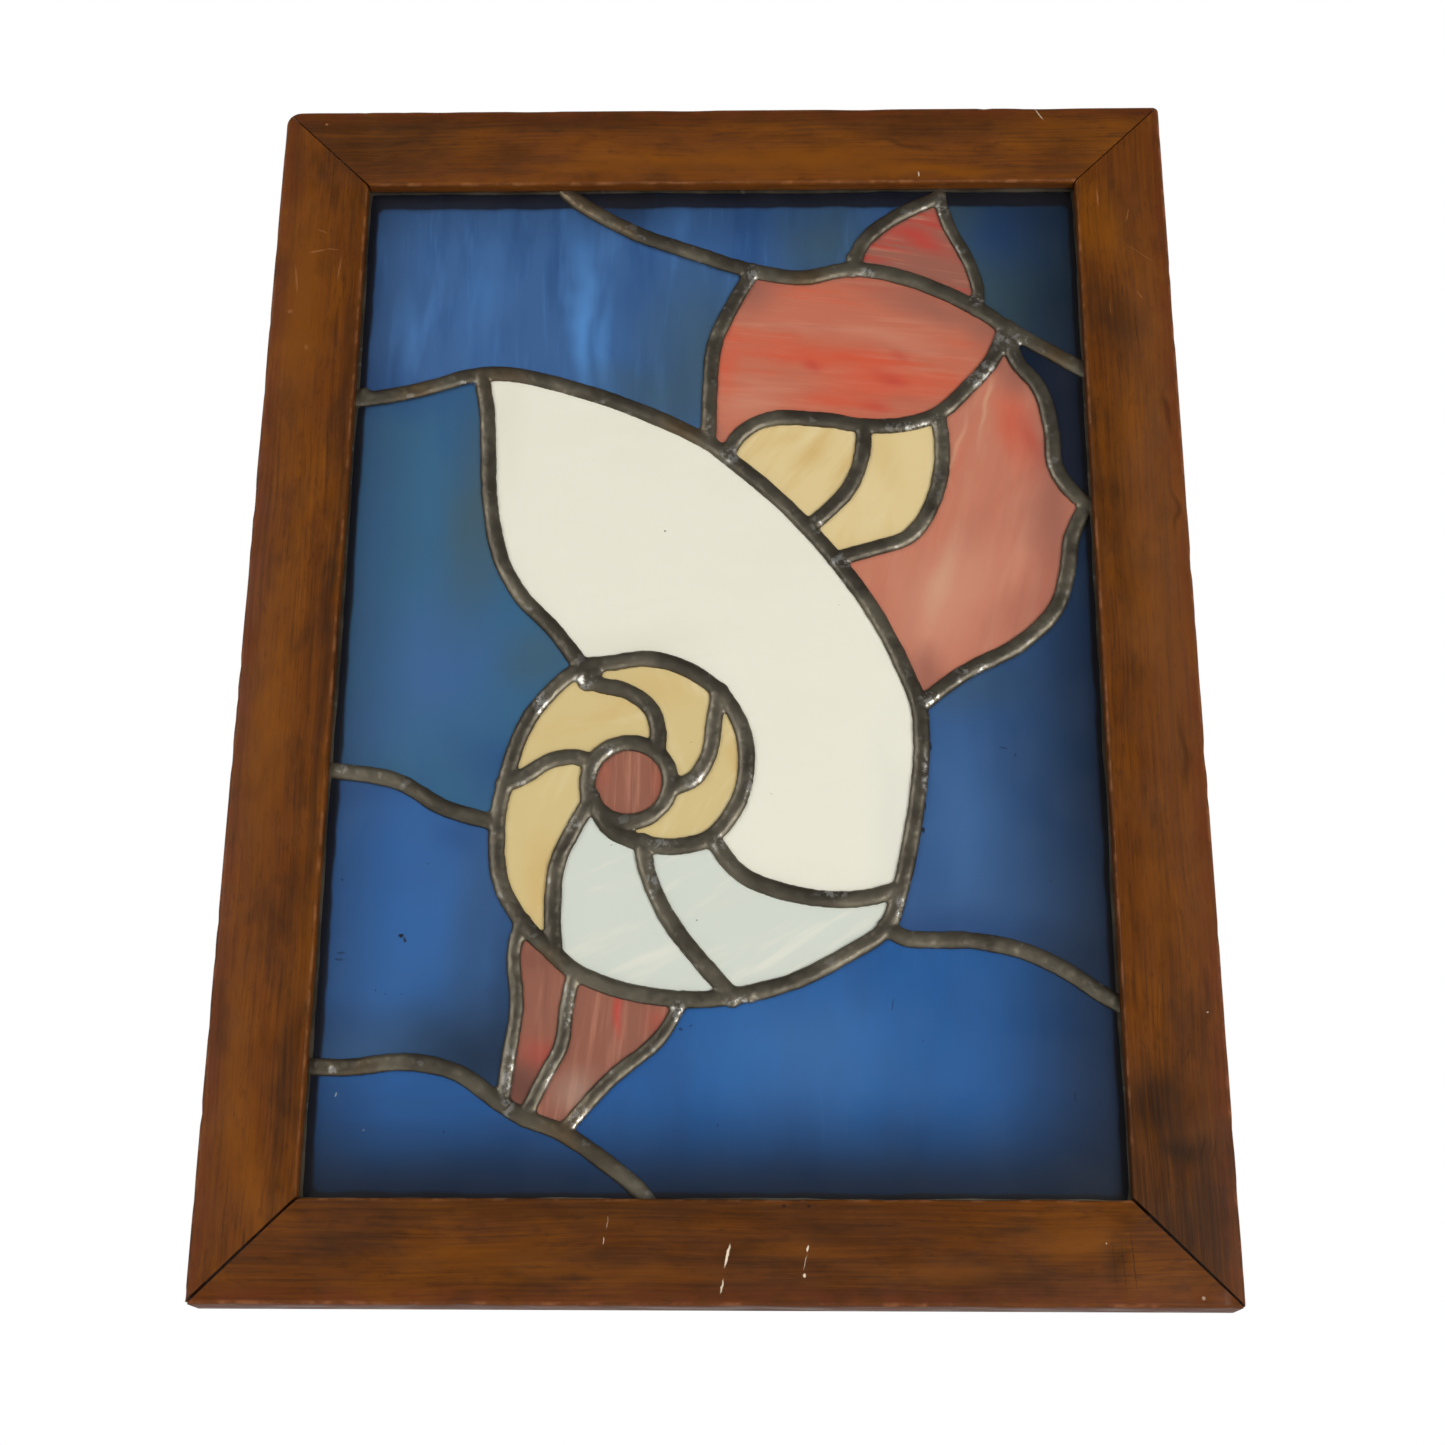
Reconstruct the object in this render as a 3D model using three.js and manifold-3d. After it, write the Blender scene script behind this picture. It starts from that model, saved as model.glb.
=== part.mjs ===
// A stained glass window: a nautilus shell in blue water, 24 pieces of glass held by one lattice
// of soldered seams, bedded in putty in a mitred wooden frame.
// Millimetres, +Z up. The decorated face looks towards -Y, and the origin is the middle of the
// top rail's back face, where the window is fixed.
import * as THREE from 'three';
import { mergeVertices } from 'three/addons/utils/BufferGeometryUtils.js';
import Module from 'manifold-3d';

const wasm = await Module();
wasm.setup();

// Wooden frame
const frameWidth = 381;
const frameHeight = 508;
const railFace = 38;
const railDepth = 19;
const lipDepth = 6;
const rabbetWidth = 6;
const outerRound = 2;
const innerRound = 1;

// Clearance between pieces that touch, and between the panel and the rabbet that takes it
const fitGap = 0.3;
const panelPlay = 0.6;

// Glass and solder
const glassThickness = 3;
const edgeWeb = 1;
const edgeBead = 6.6;
const edgeCrown = 0.7;
const beadWidth = 5.7;
const fineBeadWidth = 4.9;
const broadBeadWidth = 6.4;
const beadCrown = 1.9;
const backCrown = 1.4;
const heartWidth = 1.6;

// Putty that holds the panel from behind
const puttyDepth = 4.6;
const puttyReach = 3;
const puttyCornerRound = 7;

// Radius of the round pane in the middle of the whorl, as a share of the opening's width
const eyeShare = 0.0535;

// How finely curves are cut into straight facets: how far a facet may leave its curve, the
// longest facet, the fewest in a seam, the points tried between two of a seam's own, the sides
// of the round pane's ring and the steps of a quarter round
const chordError = 0.5;
const longestStep = 150;
const fewestSteps = 3;
const triesPerPoint = 30;
const ringSides = 16;
const roundSteps = 2;

// How far a solid that cuts runs past what it cuts, and the size of the block that feels for a pane
const overcut = 1;
const feelerSize = 1;

// A width and height, grown by the same amount on every side
const grow = ([width, height], by) => [width + 2 * by, height + 2 * by];

// Sizes that follow from these
const opening = grow([frameWidth, frameHeight], -railFace);
const panel = grow(opening, rabbetWidth - panelPlay);
const sheet = grow(panel, -edgeWeb - fitGap);
const widestBead = Math.max(beadWidth, fineBeadWidth, broadBeadWidth);

// The window is drawn face up: x to the right, y up the picture, z towards the viewer, with z = 0
// on the back of the frame. These are the levels of its layers.
const lipBack = railDepth - lipDepth;
const edgeFront = lipBack - fitGap;
const glassFront = edgeFront - edgeCrown - fitGap;
const glassBack = glassFront - glassThickness;
const edgeBack = glassBack - fitGap - edgeCrown;
const glassMiddle = (glassFront + glassBack) / 2;
const puttyFront = edgeBack - fitGap;

// The figure is given in hundredths of the opening, from its lower left corner.
const [openingWidth, openingHeight] = opening;
const across = (share) => (share / 100 - 0.5) * openingWidth;
const upward = (share) => (share / 100 - 0.5) * openingHeight;
const at = (u, v) => new THREE.Vector2(across(u), upward(v));

// Seams that run out under the frame end past the panel's edge, and are trimmed there.
const [edgeX, edgeY] = grow(panel, widestBead).map((size) => size / 2);
const leftEdge = (v) => new THREE.Vector2(-edgeX, upward(v));
const rightEdge = (v) => new THREE.Vector2(edgeX, upward(v));
const topEdge = (u) => new THREE.Vector2(across(u), edgeY);
const bottomEdge = (u) => new THREE.Vector2(across(u), -edgeY);

// The round pane in the middle of the whorl, and the points where seams leave its ring
const eyeCentre = at(38.7, 37.5);
const eyeRadius = eyeShare * openingWidth;
const onEye = (degrees) => {
  const angle = THREE.MathUtils.degToRad(degrees);
  return new THREE.Vector2(Math.cos(angle), Math.sin(angle)).multiplyScalar(eyeRadius).add(eyeCentre);
};

// Where one seam ends on another, both pass through one shared point.
const joint = {
  apex: at(17, 79.4),
  hoodFoot: at(48.5, 71.9),
  browFoot: at(50.9, 70.5),
  spineFoot: at(62, 62.8),
  throatFoot: at(65.6, 59.6),
  chinFoot: at(76.2, 44.8),
  chamberTip: at(73.3, 27.5),
  heel: at(71.4, 23.9),
  bellyMiddle: at(52.1, 17.7),
  tailRightTop: at(46, 17.45),
  tailMiddleTop: at(32.4, 19.95),
  chamberLeftFoot: at(29.8, 21.5),
  tailLeftTop: at(25.5, 24.5),
  skyLeftEnd: at(21.9, 33.6),
  whorlLeftEnd: at(22.7, 37.3),
  crown: at(32.3, 48.7),
  whorlRightTop: at(50.2, 46.3),
  chamberRightTop: at(49.3, 32.3),
  chamberMiddleTop: at(40.5, 31.75),
  hoodTop: at(54.5, 90.85),
  crestFoot: at(68.4, 90.95),
  crestEnd: at(85.7, 86.5),
  beak: at(89.7, 84.3),
  spineTop: at(69.8, 73.65),
  throatTop: at(79.9, 74.9),
  crestTip: at(81, 99.3),
  sideTip: at(99.4, 65.2),
  tailLeftFoot: at(24, 8.2),
  tailMiddleFoot: at(26.8, 7.05),
  tailRightFoot: at(31.4, 5.75),
};

// The seams. Each is one smooth curve through its points.
const seams = {
  shellSpiral: {
    points: [leftEdge(76.5), at(1, 76.7), at(7.9, 77.6), joint.apex, at(22, 79.3), at(31.7, 77.4),
      at(40.7, 74.85), joint.hoodFoot, joint.browFoot, at(57.9, 66), joint.spineFoot,
      joint.throatFoot, at(70.8, 54), at(74.7, 48), joint.chinFoot, at(76.35, 40), at(75.3, 34),
      joint.chamberTip, joint.heel, at(66.7, 21.6), at(59.9, 19.1), joint.bellyMiddle,
      joint.tailRightTop, at(38.6, 18.2), joint.tailMiddleTop, joint.chamberLeftFoot,
      joint.tailLeftTop, at(22.6, 28.3), joint.skyLeftEnd, joint.whorlLeftEnd, at(24.8, 42.6),
      at(28, 46.1), joint.crown, at(36.2, 49.15), at(41, 49.55), at(46, 48.5),
      joint.whorlRightTop, at(52.9, 43.3), at(53.85, 39.4), at(52.7, 35.5),
      joint.chamberRightTop, at(45, 31.4), joint.chamberMiddleTop, at(36.6, 33), onEye(202)],
  },
  shellFront: {
    points: [joint.apex, at(18.1, 75.5), at(18.6, 70.1), at(19.1, 65.6), at(20.8, 60),
      at(23.7, 56), at(28.2, 52.6), joint.crown],
  },
  whorlTop: {
    points: [joint.crown, at(34.2, 46.8), at(38, 46.2), at(41.1, 44.8), at(42.3, 42.7), onEye(48)],
  },
  whorlLeft: {
    points: [joint.whorlLeftEnd, at(25.2, 38.1), at(28.3, 39.5), at(31.5, 39.95), onEye(150)],
  },
  whorlRight: {
    points: [joint.whorlRightTop, at(49.6, 43.4), at(49.1, 40.5), at(47.3, 38), onEye(-10)],
  },
  chamberLeft: {
    points: [onEye(206), at(31.6, 32.9), at(29.9, 29.9), at(29.35, 26), joint.chamberLeftFoot],
  },
  chamberMiddle: {
    points: [joint.chamberMiddleTop, at(41.6, 28.3), at(44.3, 24.4), at(48, 21), joint.bellyMiddle],
  },
  chamberRight: {
    points: [joint.chamberRightTop, at(52.8, 29.1), at(57.6, 27.4), at(64.4, 26.5),
      at(69.3, 26.7), joint.chamberTip],
  },
  skyTop: {
    width: broadBeadWidth,
    points: [topEdge(25.6), at(29.1, 99.3), at(37.6, 95.4), at(46, 93), joint.hoodTop,
      at(61.5, 90.05), joint.crestFoot, at(76, 89.9), joint.crestEnd, joint.beak,
      at(95.6, 81.6), at(99.4, 79.9), rightEdge(78.2)],
  },
  skyLeft: {
    points: [leftEdge(39), at(2, 38.5), at(8.8, 37.6), at(15, 35.1), joint.skyLeftEnd],
  },
  skyRight: {
    points: [joint.heel, at(74, 22.95), at(82, 22.75), at(88.4, 21.8), at(93, 20.3),
      at(98, 17.9), rightEdge(15.5)],
  },
  skyLow: {
    points: [leftEdge(11.5), at(5, 11.4), at(12, 11.85), at(18.1, 11), joint.tailLeftFoot,
      joint.tailMiddleFoot, joint.tailRightFoot, at(36.7, 3.3), at(41.6, 0.4), bottomEdge(44.5)],
  },
  tailLeft: {
    width: fineBeadWidth,
    points: [joint.tailLeftTop, at(24.7, 21.5), at(25.3, 16.8), at(24.7, 12.8), joint.tailLeftFoot],
  },
  tailMiddle: {
    width: fineBeadWidth,
    points: [joint.tailMiddleTop, at(31.6, 17), at(31, 13.3), at(29.2, 10.7), joint.tailMiddleFoot],
  },
  tailRight: {
    width: fineBeadWidth,
    points: [joint.tailRightTop, at(43.2, 14), at(37.4, 10.5), joint.tailRightFoot],
  },
  hoodLeft: {
    points: [joint.hoodTop, at(51.5, 86.6), at(49.3, 82.6), at(48.7, 77.9), joint.hoodFoot],
  },
  hoodBrow: {
    points: [joint.browFoot, at(52.8, 72.7), at(56.6, 74.35), at(63.8, 74.35), joint.spineTop,
      at(75, 73.75), joint.throatTop, at(84.5, 78.05), at(87.5, 80.7), joint.beak],
  },
  hoodSpine: {
    points: [joint.spineTop, at(69.3, 70.1), at(67.3, 66.7), joint.spineFoot],
  },
  hoodThroat: {
    points: [joint.throatTop, at(80.3, 70.5), at(78.9, 65.6), at(75.6, 62), at(70.8, 60.7),
      joint.throatFoot],
  },
  crestLeft: {
    points: [joint.crestFoot, at(70.1, 94), at(73.8, 96.5), joint.crestTip],
  },
  crestRight: {
    width: fineBeadWidth,
    points: [topEdge(80.8), joint.crestTip, at(82.2, 95.9), at(84.9, 91.6), at(86, 88.4),
      joint.crestEnd],
  },
  hoodRight: {
    points: [joint.beak, at(90.8, 80.8), at(93.9, 77.5), at(95.2, 73), at(95.4, 69.4),
      at(97, 67.1), joint.sideTip, rightEdge(62.9)],
  },
  hoodChin: {
    points: [joint.sideTip, at(97.3, 62), at(96.3, 58), at(94.4, 54.3), at(89.5, 50.9),
      at(82, 48), joint.chinFoot],
  },
};

// The panes, each with a spot well inside it, in hundredths of the opening
const panes = {
  blue_upper_left: { glass: 'blue', spot: [25, 88] },
  blue_top: { glass: 'blue', spot: [58, 95] },
  blue_upper_right: { glass: 'blue', spot: [93, 91] },
  blue_right_sliver: { glass: 'blue', spot: [98, 74] },
  blue_left: { glass: 'blue', spot: [8, 58] },
  blue_lower_left: { glass: 'blue', spot: [10, 25] },
  blue_bottom_left: { glass: 'blue', spot: [12, 5] },
  blue_bottom: { glass: 'blue', spot: [70, 9] },
  blue_right: { glass: 'blue', spot: [88, 36] },
  shell_body: { glass: 'white', spot: [45, 60] },
  shell_chamber_right: { glass: 'white', spot: [57, 23] },
  shell_chamber_left: { glass: 'white', spot: [35, 26] },
  whorl_lower_left: { glass: 'cream', spot: [26, 32] },
  whorl_upper_left: { glass: 'cream', spot: [32, 43] },
  whorl_upper_right: { glass: 'cream', spot: [45, 44] },
  whorl_lower_right: { glass: 'cream', spot: [51.5, 38] },
  whorl_centre: { glass: 'red', spot: [38.7, 37.5] },
  hood_crest: { glass: 'coral', spot: [79, 93] },
  hood_body: { glass: 'coral', spot: [65, 82] },
  hood_side: { glass: 'coral', spot: [85, 60] },
  hood_inner_left: { glass: 'cream', spot: [62, 69] },
  hood_inner_right: { glass: 'cream', spot: [74, 68] },
  tail_left: { glass: 'red', spot: [28, 16] },
  tail_right: { glass: 'coral', spot: [36, 14] },
};

const materials = {
  wood: new THREE.MeshStandardMaterial({ color: 0x70401f, roughness: 0.5, metalness: 0 }),
  solder: new THREE.MeshStandardMaterial({ color: 0x47443d, roughness: 0.4, metalness: 0.8 }),
  putty: new THREE.MeshStandardMaterial({ color: 0x17161a, roughness: 0.9, metalness: 0 }),
  blue: new THREE.MeshStandardMaterial({ color: 0x2b5c96, roughness: 0.1, metalness: 0 }),
  white: new THREE.MeshStandardMaterial({ color: 0xebe9dc, roughness: 0.1, metalness: 0 }),
  cream: new THREE.MeshStandardMaterial({ color: 0xdccd96, roughness: 0.1, metalness: 0 }),
  coral: new THREE.MeshStandardMaterial({ color: 0xd06a55, roughness: 0.1, metalness: 0 }),
  red: new THREE.MeshStandardMaterial({ color: 0x9c4a3c, roughness: 0.1, metalness: 0 }),
};

function solidOf(geometry) {
  const bare = geometry.clone();
  bare.deleteAttribute('normal');
  bare.deleteAttribute('uv');
  const merged = mergeVertices(bare, 1e-4);
  const vertProperties = new Float32Array(merged.attributes.position.array);
  const triVerts = new Uint32Array(merged.index.array);
  return new wasm.Manifold(new wasm.Mesh({ numProp: 3, vertProperties, triVerts }));
}

function geometryOf(solid) {
  const mesh = solid.getMesh();
  const geometry = new THREE.BufferGeometry();
  geometry.setAttribute('position', new THREE.BufferAttribute(mesh.vertProperties, 3));
  geometry.setIndex(new THREE.BufferAttribute(mesh.triVerts, 1));
  return geometry;
}

function join(solids) {
  return solids.reduce((whole, solid) => whole.add(solid));
}

// A flat block about the middle, between two levels
function block([width, height], low, high) {
  const box = new THREE.BoxGeometry(width, height, high - low);
  return solidOf(box.translate(0, 0, (low + high) / 2));
}

// A rectangle about the middle, with square corners or rounded ones
function rectangle(path, [width, height], cornerRound) {
  const x = width / 2 - cornerRound;
  const y = height / 2 - cornerRound;
  const corners = [[x, -y], [x, y], [-x, y], [-x, -y]].map((corner) => new THREE.Vector2(...corner));
  if (cornerRound === 0) return path.setFromPoints(corners);
  corners.forEach((centre, quarter) => {
    const start = ((quarter - 1) * Math.PI) / 2;
    path.absarc(centre.x, centre.y, cornerRound, start, start + Math.PI / 2);
  });
  return path;
}

// A flat rectangular ring between two levels
function ring(outer, inner, low, high, cornerRound = 0) {
  const shape = rectangle(new THREE.Shape(), outer, 0);
  shape.holes.push(rectangle(new THREE.Path(), inner, cornerRound));
  const options = { depth: high - low, bevelEnabled: false, curveSegments: roundSteps };
  return new THREE.ExtrudeGeometry(shape, options).translate(0, 0, low);
}

// The section of a seam, depth first: a domed bead on each face and the heart between the panes
function seamSection(width) {
  const face = glassThickness / 2 + fitGap;
  const half = [
    [-face - beadCrown, width / 4],
    [-face, width / 2],
    [-face, heartWidth / 2],
    [face, heartWidth / 2],
    [face, width / 2],
    [face + backCrown, width / 4],
  ];
  const other = half.map(([depth, side]) => [depth, -side]).reverse();
  return [...half, ...other].map(([depth, side]) => new THREE.Vector2(depth, side));
}

// The section of the cut that a seam's heart makes in the sheet of glass
function cutSection() {
  const depth = glassThickness;
  const side = heartWidth / 2 + fitGap;
  return [[-depth, side], [depth, side], [depth, -side], [-depth, -side]]
    .map(([x, y]) => new THREE.Vector2(x, y));
}

// A smooth curve that sets its steps by its bend, so that each straight facet leaves it by the
// chord error, and none is longer than the longest step. The chord of a short arc leaves it by
// its length times its turn over 8.
class BendSpacedCurve extends THREE.CatmullRomCurve3 {
  constructor(points) {
    super(points, false, 'centripetal');
    this.samples = triesPerPoint * points.length;
    this.marks = [0];
    for (let i = 1; i <= this.samples; i += 1) {
      const from = (i - 1) / this.samples;
      const to = i / this.samples;
      const length = this.getPoint(to).distanceTo(this.getPoint(from));
      const bend = this.getTangent(to).angleTo(this.getTangent(from));
      const stepsForBend = Math.sqrt((length * bend) / (8 * chordError));
      this.marks.push(this.marks[i - 1] + stepsForBend + length / longestStep);
    }
    this.steps = Math.max(fewestSteps, Math.round(this.marks[this.samples]));
  }

  getUtoTmapping(u) {
    const target = u * this.marks[this.samples];
    const next = Math.max(1, this.marks.findIndex((mark) => mark >= target));
    const share = (target - this.marks[next - 1]) / (this.marks[next] - this.marks[next - 1]);
    return (next - 1 + share) / this.samples;
  }
}

function sweepSeam(points, section) {
  const route = points.map(({ x, y }) => new THREE.Vector3(x, y, glassMiddle));
  const extrudePath = new BendSpacedCurve(route);
  const options = { steps: extrudePath.steps, extrudePath };
  return solidOf(new THREE.ExtrudeGeometry(new THREE.Shape(section), options));
}

// The same section turned about the centre of the round pane
function sweepEye(section) {
  const profile = section.map(({ x, y }) => new THREE.Vector2(eyeRadius + y, -x)).reverse();
  profile.push(profile[0].clone());
  const turned = new THREE.LatheGeometry(profile, ringSides).rotateX(Math.PI / 2);
  return solidOf(turned.translate(eyeCentre.x, eyeCentre.y, glassMiddle));
}

// The panel's foiled edge: a web round the sheet, with a flat bead on each face
function borderSolid() {
  const insideBead = grow(panel, -edgeBead);
  const insideWeb = grow(panel, -edgeWeb);
  return join([
    solidOf(ring(panel, insideBead, glassFront + fitGap, edgeFront)),
    solidOf(ring(panel, insideWeb, edgeBack, edgeFront)),
    solidOf(ring(panel, insideBead, edgeBack, glassBack - fitGap)),
  ]);
}

// All the seams in one, kept clear of the frame's lip in front and of the putty behind
function latticeSolid() {
  const sweeps = Object.values(seams)
    .map(({ points, width = beadWidth }) => sweepSeam(points, seamSection(width)));
  const beads = join([...sweeps, sweepEye(seamSection(beadWidth))]);
  const low = -overcut;
  const high = railDepth + overcut;
  const pastPanel = grow(panel, overcut);
  const clearOfLip = grow(opening, -fitGap);
  const clearOfPutty = grow(opening, -puttyReach - fitGap);
  return beads
    .intersect(block(panel, low, high))
    .subtract(solidOf(ring(pastPanel, clearOfLip, edgeFront, high)))
    .subtract(solidOf(ring(pastPanel, clearOfPutty, low, edgeBack)))
    .add(borderSolid());
}

// The sheet of glass, parted along the hearts of all the seams
function partedSheet() {
  const cuts = Object.values(seams).map(({ points }) => sweepSeam(points, cutSection()));
  cuts.push(sweepEye(cutSection()));
  return block(sheet, glassBack, glassFront).subtract(join(cuts)).decompose();
}

function paneAt(pieces, [u, v]) {
  const box = new THREE.BoxGeometry(feelerSize, feelerSize, feelerSize);
  const feeler = solidOf(box.translate(across(u), upward(v), glassMiddle));
  return pieces.find((piece) => piece.intersect(feeler).volume() > 0);
}

// A rail lies along x with its outer edge at y = 0 and its face upwards. Each end is mitred by
// drawing every point in by its own distance from the outer edge.
function railGeometry(length) {
  const section = new THREE.Shape();
  section.moveTo(0, 0);
  section.lineTo(railFace - rabbetWidth, 0);
  section.lineTo(railFace - rabbetWidth, lipBack);
  section.lineTo(railFace, lipBack);
  section.lineTo(railFace, railDepth - innerRound);
  section.absarc(railFace - innerRound, railDepth - innerRound, innerRound, 0, Math.PI / 2);
  section.lineTo(outerRound, railDepth);
  section.absarc(outerRound, railDepth - outerRound, outerRound, Math.PI / 2, Math.PI);
  section.lineTo(0, 0);
  const options = { depth: length, bevelEnabled: false, curveSegments: roundSteps };
  const rail = new THREE.ExtrudeGeometry(section, options);
  const corner = rail.attributes.position;
  const halfJoint = fitGap / Math.SQRT2;
  for (let i = 0; i < corner.count; i += 1) {
    const inward = corner.getX(i);
    const level = corner.getY(i);
    const side = corner.getZ(i) > length / 2 ? 1 : -1;
    corner.setXYZ(i, side * (length / 2 - inward - halfJoint), inward, level);
  }
  return rail;
}

function addMesh(group, name, geometry, material) {
  const mesh = new THREE.Mesh(geometry, material);
  mesh.name = name;
  group.add(mesh);
  return mesh;
}

function addRail(group, name, length, distance, turn) {
  const rail = addMesh(group, name, railGeometry(length), materials.wood);
  rail.rotation.z = turn;
  rail.position.set(Math.sin(turn) * distance, -Math.cos(turn) * distance, 0);
}

function addPanes(group) {
  const pieces = partedSheet();
  for (const [name, { glass, spot }] of Object.entries(panes)) {
    addMesh(group, `glass_${name}`, geometryOf(paneAt(pieces, spot)), materials[glass]);
  }
}

function addPutty(group) {
  const outer = grow(opening, rabbetWidth - fitGap);
  const inner = grow(opening, -puttyReach);
  const bed = ring(outer, inner, puttyFront - puttyDepth, puttyFront, puttyCornerRound);
  addMesh(group, 'glazing_putty', bed, materials.putty);
}

const face = new THREE.Group();
addRail(face, 'rail_bottom', frameWidth, frameHeight / 2, 0);
addRail(face, 'rail_right', frameHeight, frameWidth / 2, Math.PI / 2);
addRail(face, 'rail_top', frameWidth, frameHeight / 2, Math.PI);
addRail(face, 'rail_left', frameHeight, frameWidth / 2, -Math.PI / 2);
addMesh(face, 'solder_lattice', geometryOf(latticeSolid()), materials.solder);
addPanes(face);
addPutty(face);

// Stood upright, with the middle of the top rail's back at the origin
face.rotation.x = Math.PI / 2;
face.position.z = (railFace - frameHeight) / 2;

const stainedGlassWindow = new THREE.Group();
stainedGlassWindow.add(face);

export default stainedGlassWindow;
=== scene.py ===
"""A stained glass window: a nautilus shell in blue water, in a mitred wooden frame.

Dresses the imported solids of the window. Everything is in metres, +Z up, and the decorated face
looks towards -Y. Places in the picture are pairs in hundredths of the frame's opening, counted
from its lower left corner, so a place on a rail is below 0 or above 100.
"""

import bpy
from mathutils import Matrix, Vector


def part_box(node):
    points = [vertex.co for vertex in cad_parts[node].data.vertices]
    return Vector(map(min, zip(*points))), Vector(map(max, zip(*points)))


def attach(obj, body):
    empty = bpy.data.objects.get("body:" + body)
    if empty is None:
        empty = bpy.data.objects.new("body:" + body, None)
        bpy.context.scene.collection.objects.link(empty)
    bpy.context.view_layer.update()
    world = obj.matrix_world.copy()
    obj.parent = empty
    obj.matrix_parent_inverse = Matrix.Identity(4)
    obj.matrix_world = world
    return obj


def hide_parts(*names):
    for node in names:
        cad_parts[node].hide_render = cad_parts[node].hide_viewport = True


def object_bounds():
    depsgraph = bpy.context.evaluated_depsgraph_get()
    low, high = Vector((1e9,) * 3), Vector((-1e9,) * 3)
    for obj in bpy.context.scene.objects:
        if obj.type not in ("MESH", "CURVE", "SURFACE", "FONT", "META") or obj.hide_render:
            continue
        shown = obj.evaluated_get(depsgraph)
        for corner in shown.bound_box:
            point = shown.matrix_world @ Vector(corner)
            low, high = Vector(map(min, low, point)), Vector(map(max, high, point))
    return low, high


bl_info = {
    "name": "Stained Glass Window",
    "version": (1, 0, 0),
    "blender": (4, 5, 0),
    "location": "3D View > Sidebar > Window",
    "description": "Dresses a framed stained glass panel: wood, solder, putty and glass",
    "category": "Object",
}

import math

import bmesh
import bpy
from bpy.props import FloatProperty, FloatVectorProperty, IntProperty, PointerProperty
from mathutils import Matrix, Vector, noise

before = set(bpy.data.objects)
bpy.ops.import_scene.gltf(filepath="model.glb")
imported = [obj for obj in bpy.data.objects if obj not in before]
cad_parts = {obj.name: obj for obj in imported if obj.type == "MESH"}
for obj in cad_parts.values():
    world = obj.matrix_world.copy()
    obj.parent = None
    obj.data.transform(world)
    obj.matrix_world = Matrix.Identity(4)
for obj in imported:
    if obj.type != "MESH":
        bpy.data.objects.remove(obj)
CAD_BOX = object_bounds()

MM = 0.001
TINY = 1e-6

# Faces that meet at a greater angle keep a sharp edge between them.
SHARP_ANGLE = math.radians(38)

# Edges of the opening, and the levels of the layers behind it, as the solids have them
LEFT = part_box("rail_left")[1].x
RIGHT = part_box("rail_right")[0].x
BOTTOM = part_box("rail_bottom")[1].z
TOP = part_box("rail_top")[0].z
FACE_LEVEL = CAD_BOX[0].y
GLASS_FRONT, GLASS_BACK = (corner.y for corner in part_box("glass_shell_body"))
PANEL_LOW, PANEL_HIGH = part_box("solder_lattice")
PUTTY_LOW, PUTTY_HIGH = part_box("glazing_putty")
MIDDLE = (CAD_BOX[0] + CAD_BOX[1]) / 2


def place(u, v, level=0.0):
    """The point at hundredths u and v of the opening, at a level of depth."""
    return Vector((LEFT + (RIGHT - LEFT) * u / 100, level, BOTTOM + (TOP - BOTTOM) * v / 100))


# Seams that run out under the frame end past the panel's edge.
OUT_LEFT, OUT_RIGHT = -3.87, 103.87
OUT_BOTTOM, OUT_TOP = -2.73, 102.73

# The round pane in the middle of the whorl
EYE_CENTRE = (38.7, 37.5)
EYE_RADIUS = 0.0535 * (RIGHT - LEFT)
EYE_POINTS = 12


def on_eye(degrees):
    """The place on the round pane's ring in that direction, from the right and turning up."""
    angle = math.radians(degrees)
    across = 100 * EYE_RADIUS * math.cos(angle) / (RIGHT - LEFT)
    upward = 100 * EYE_RADIUS * math.sin(angle) / (TOP - BOTTOM)
    return EYE_CENTRE[0] + across, EYE_CENTRE[1] + upward


# Where one seam ends on another, both pass through one shared point.
JOINTS = {
    "apex": (17, 79.4),
    "hood foot": (48.5, 71.9),
    "brow foot": (50.9, 70.5),
    "spine foot": (62, 62.8),
    "throat foot": (65.6, 59.6),
    "chin foot": (76.2, 44.8),
    "chamber tip": (73.3, 27.5),
    "heel": (71.4, 23.9),
    "belly": (52.1, 17.7),
    "tail right top": (46, 17.45),
    "tail middle top": (32.4, 19.95),
    "chamber left foot": (29.8, 21.5),
    "tail left top": (25.5, 24.5),
    "sky left end": (21.9, 33.6),
    "whorl left end": (22.7, 37.3),
    "crown": (32.3, 48.7),
    "whorl right top": (50.2, 46.3),
    "chamber right top": (49.3, 32.3),
    "chamber middle top": (40.5, 31.75),
    "hood top": (54.5, 90.85),
    "crest foot": (68.4, 90.95),
    "crest end": (85.7, 86.5),
    "beak": (89.7, 84.3),
    "spine top": (69.8, 73.65),
    "throat top": (79.9, 74.9),
    "crest tip": (81, 99.3),
    "side tip": (99.4, 65.2),
    "tail left foot": (24, 8.2),
    "tail middle foot": (26.8, 7.05),
    "tail right foot": (31.4, 5.75),
}

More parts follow.
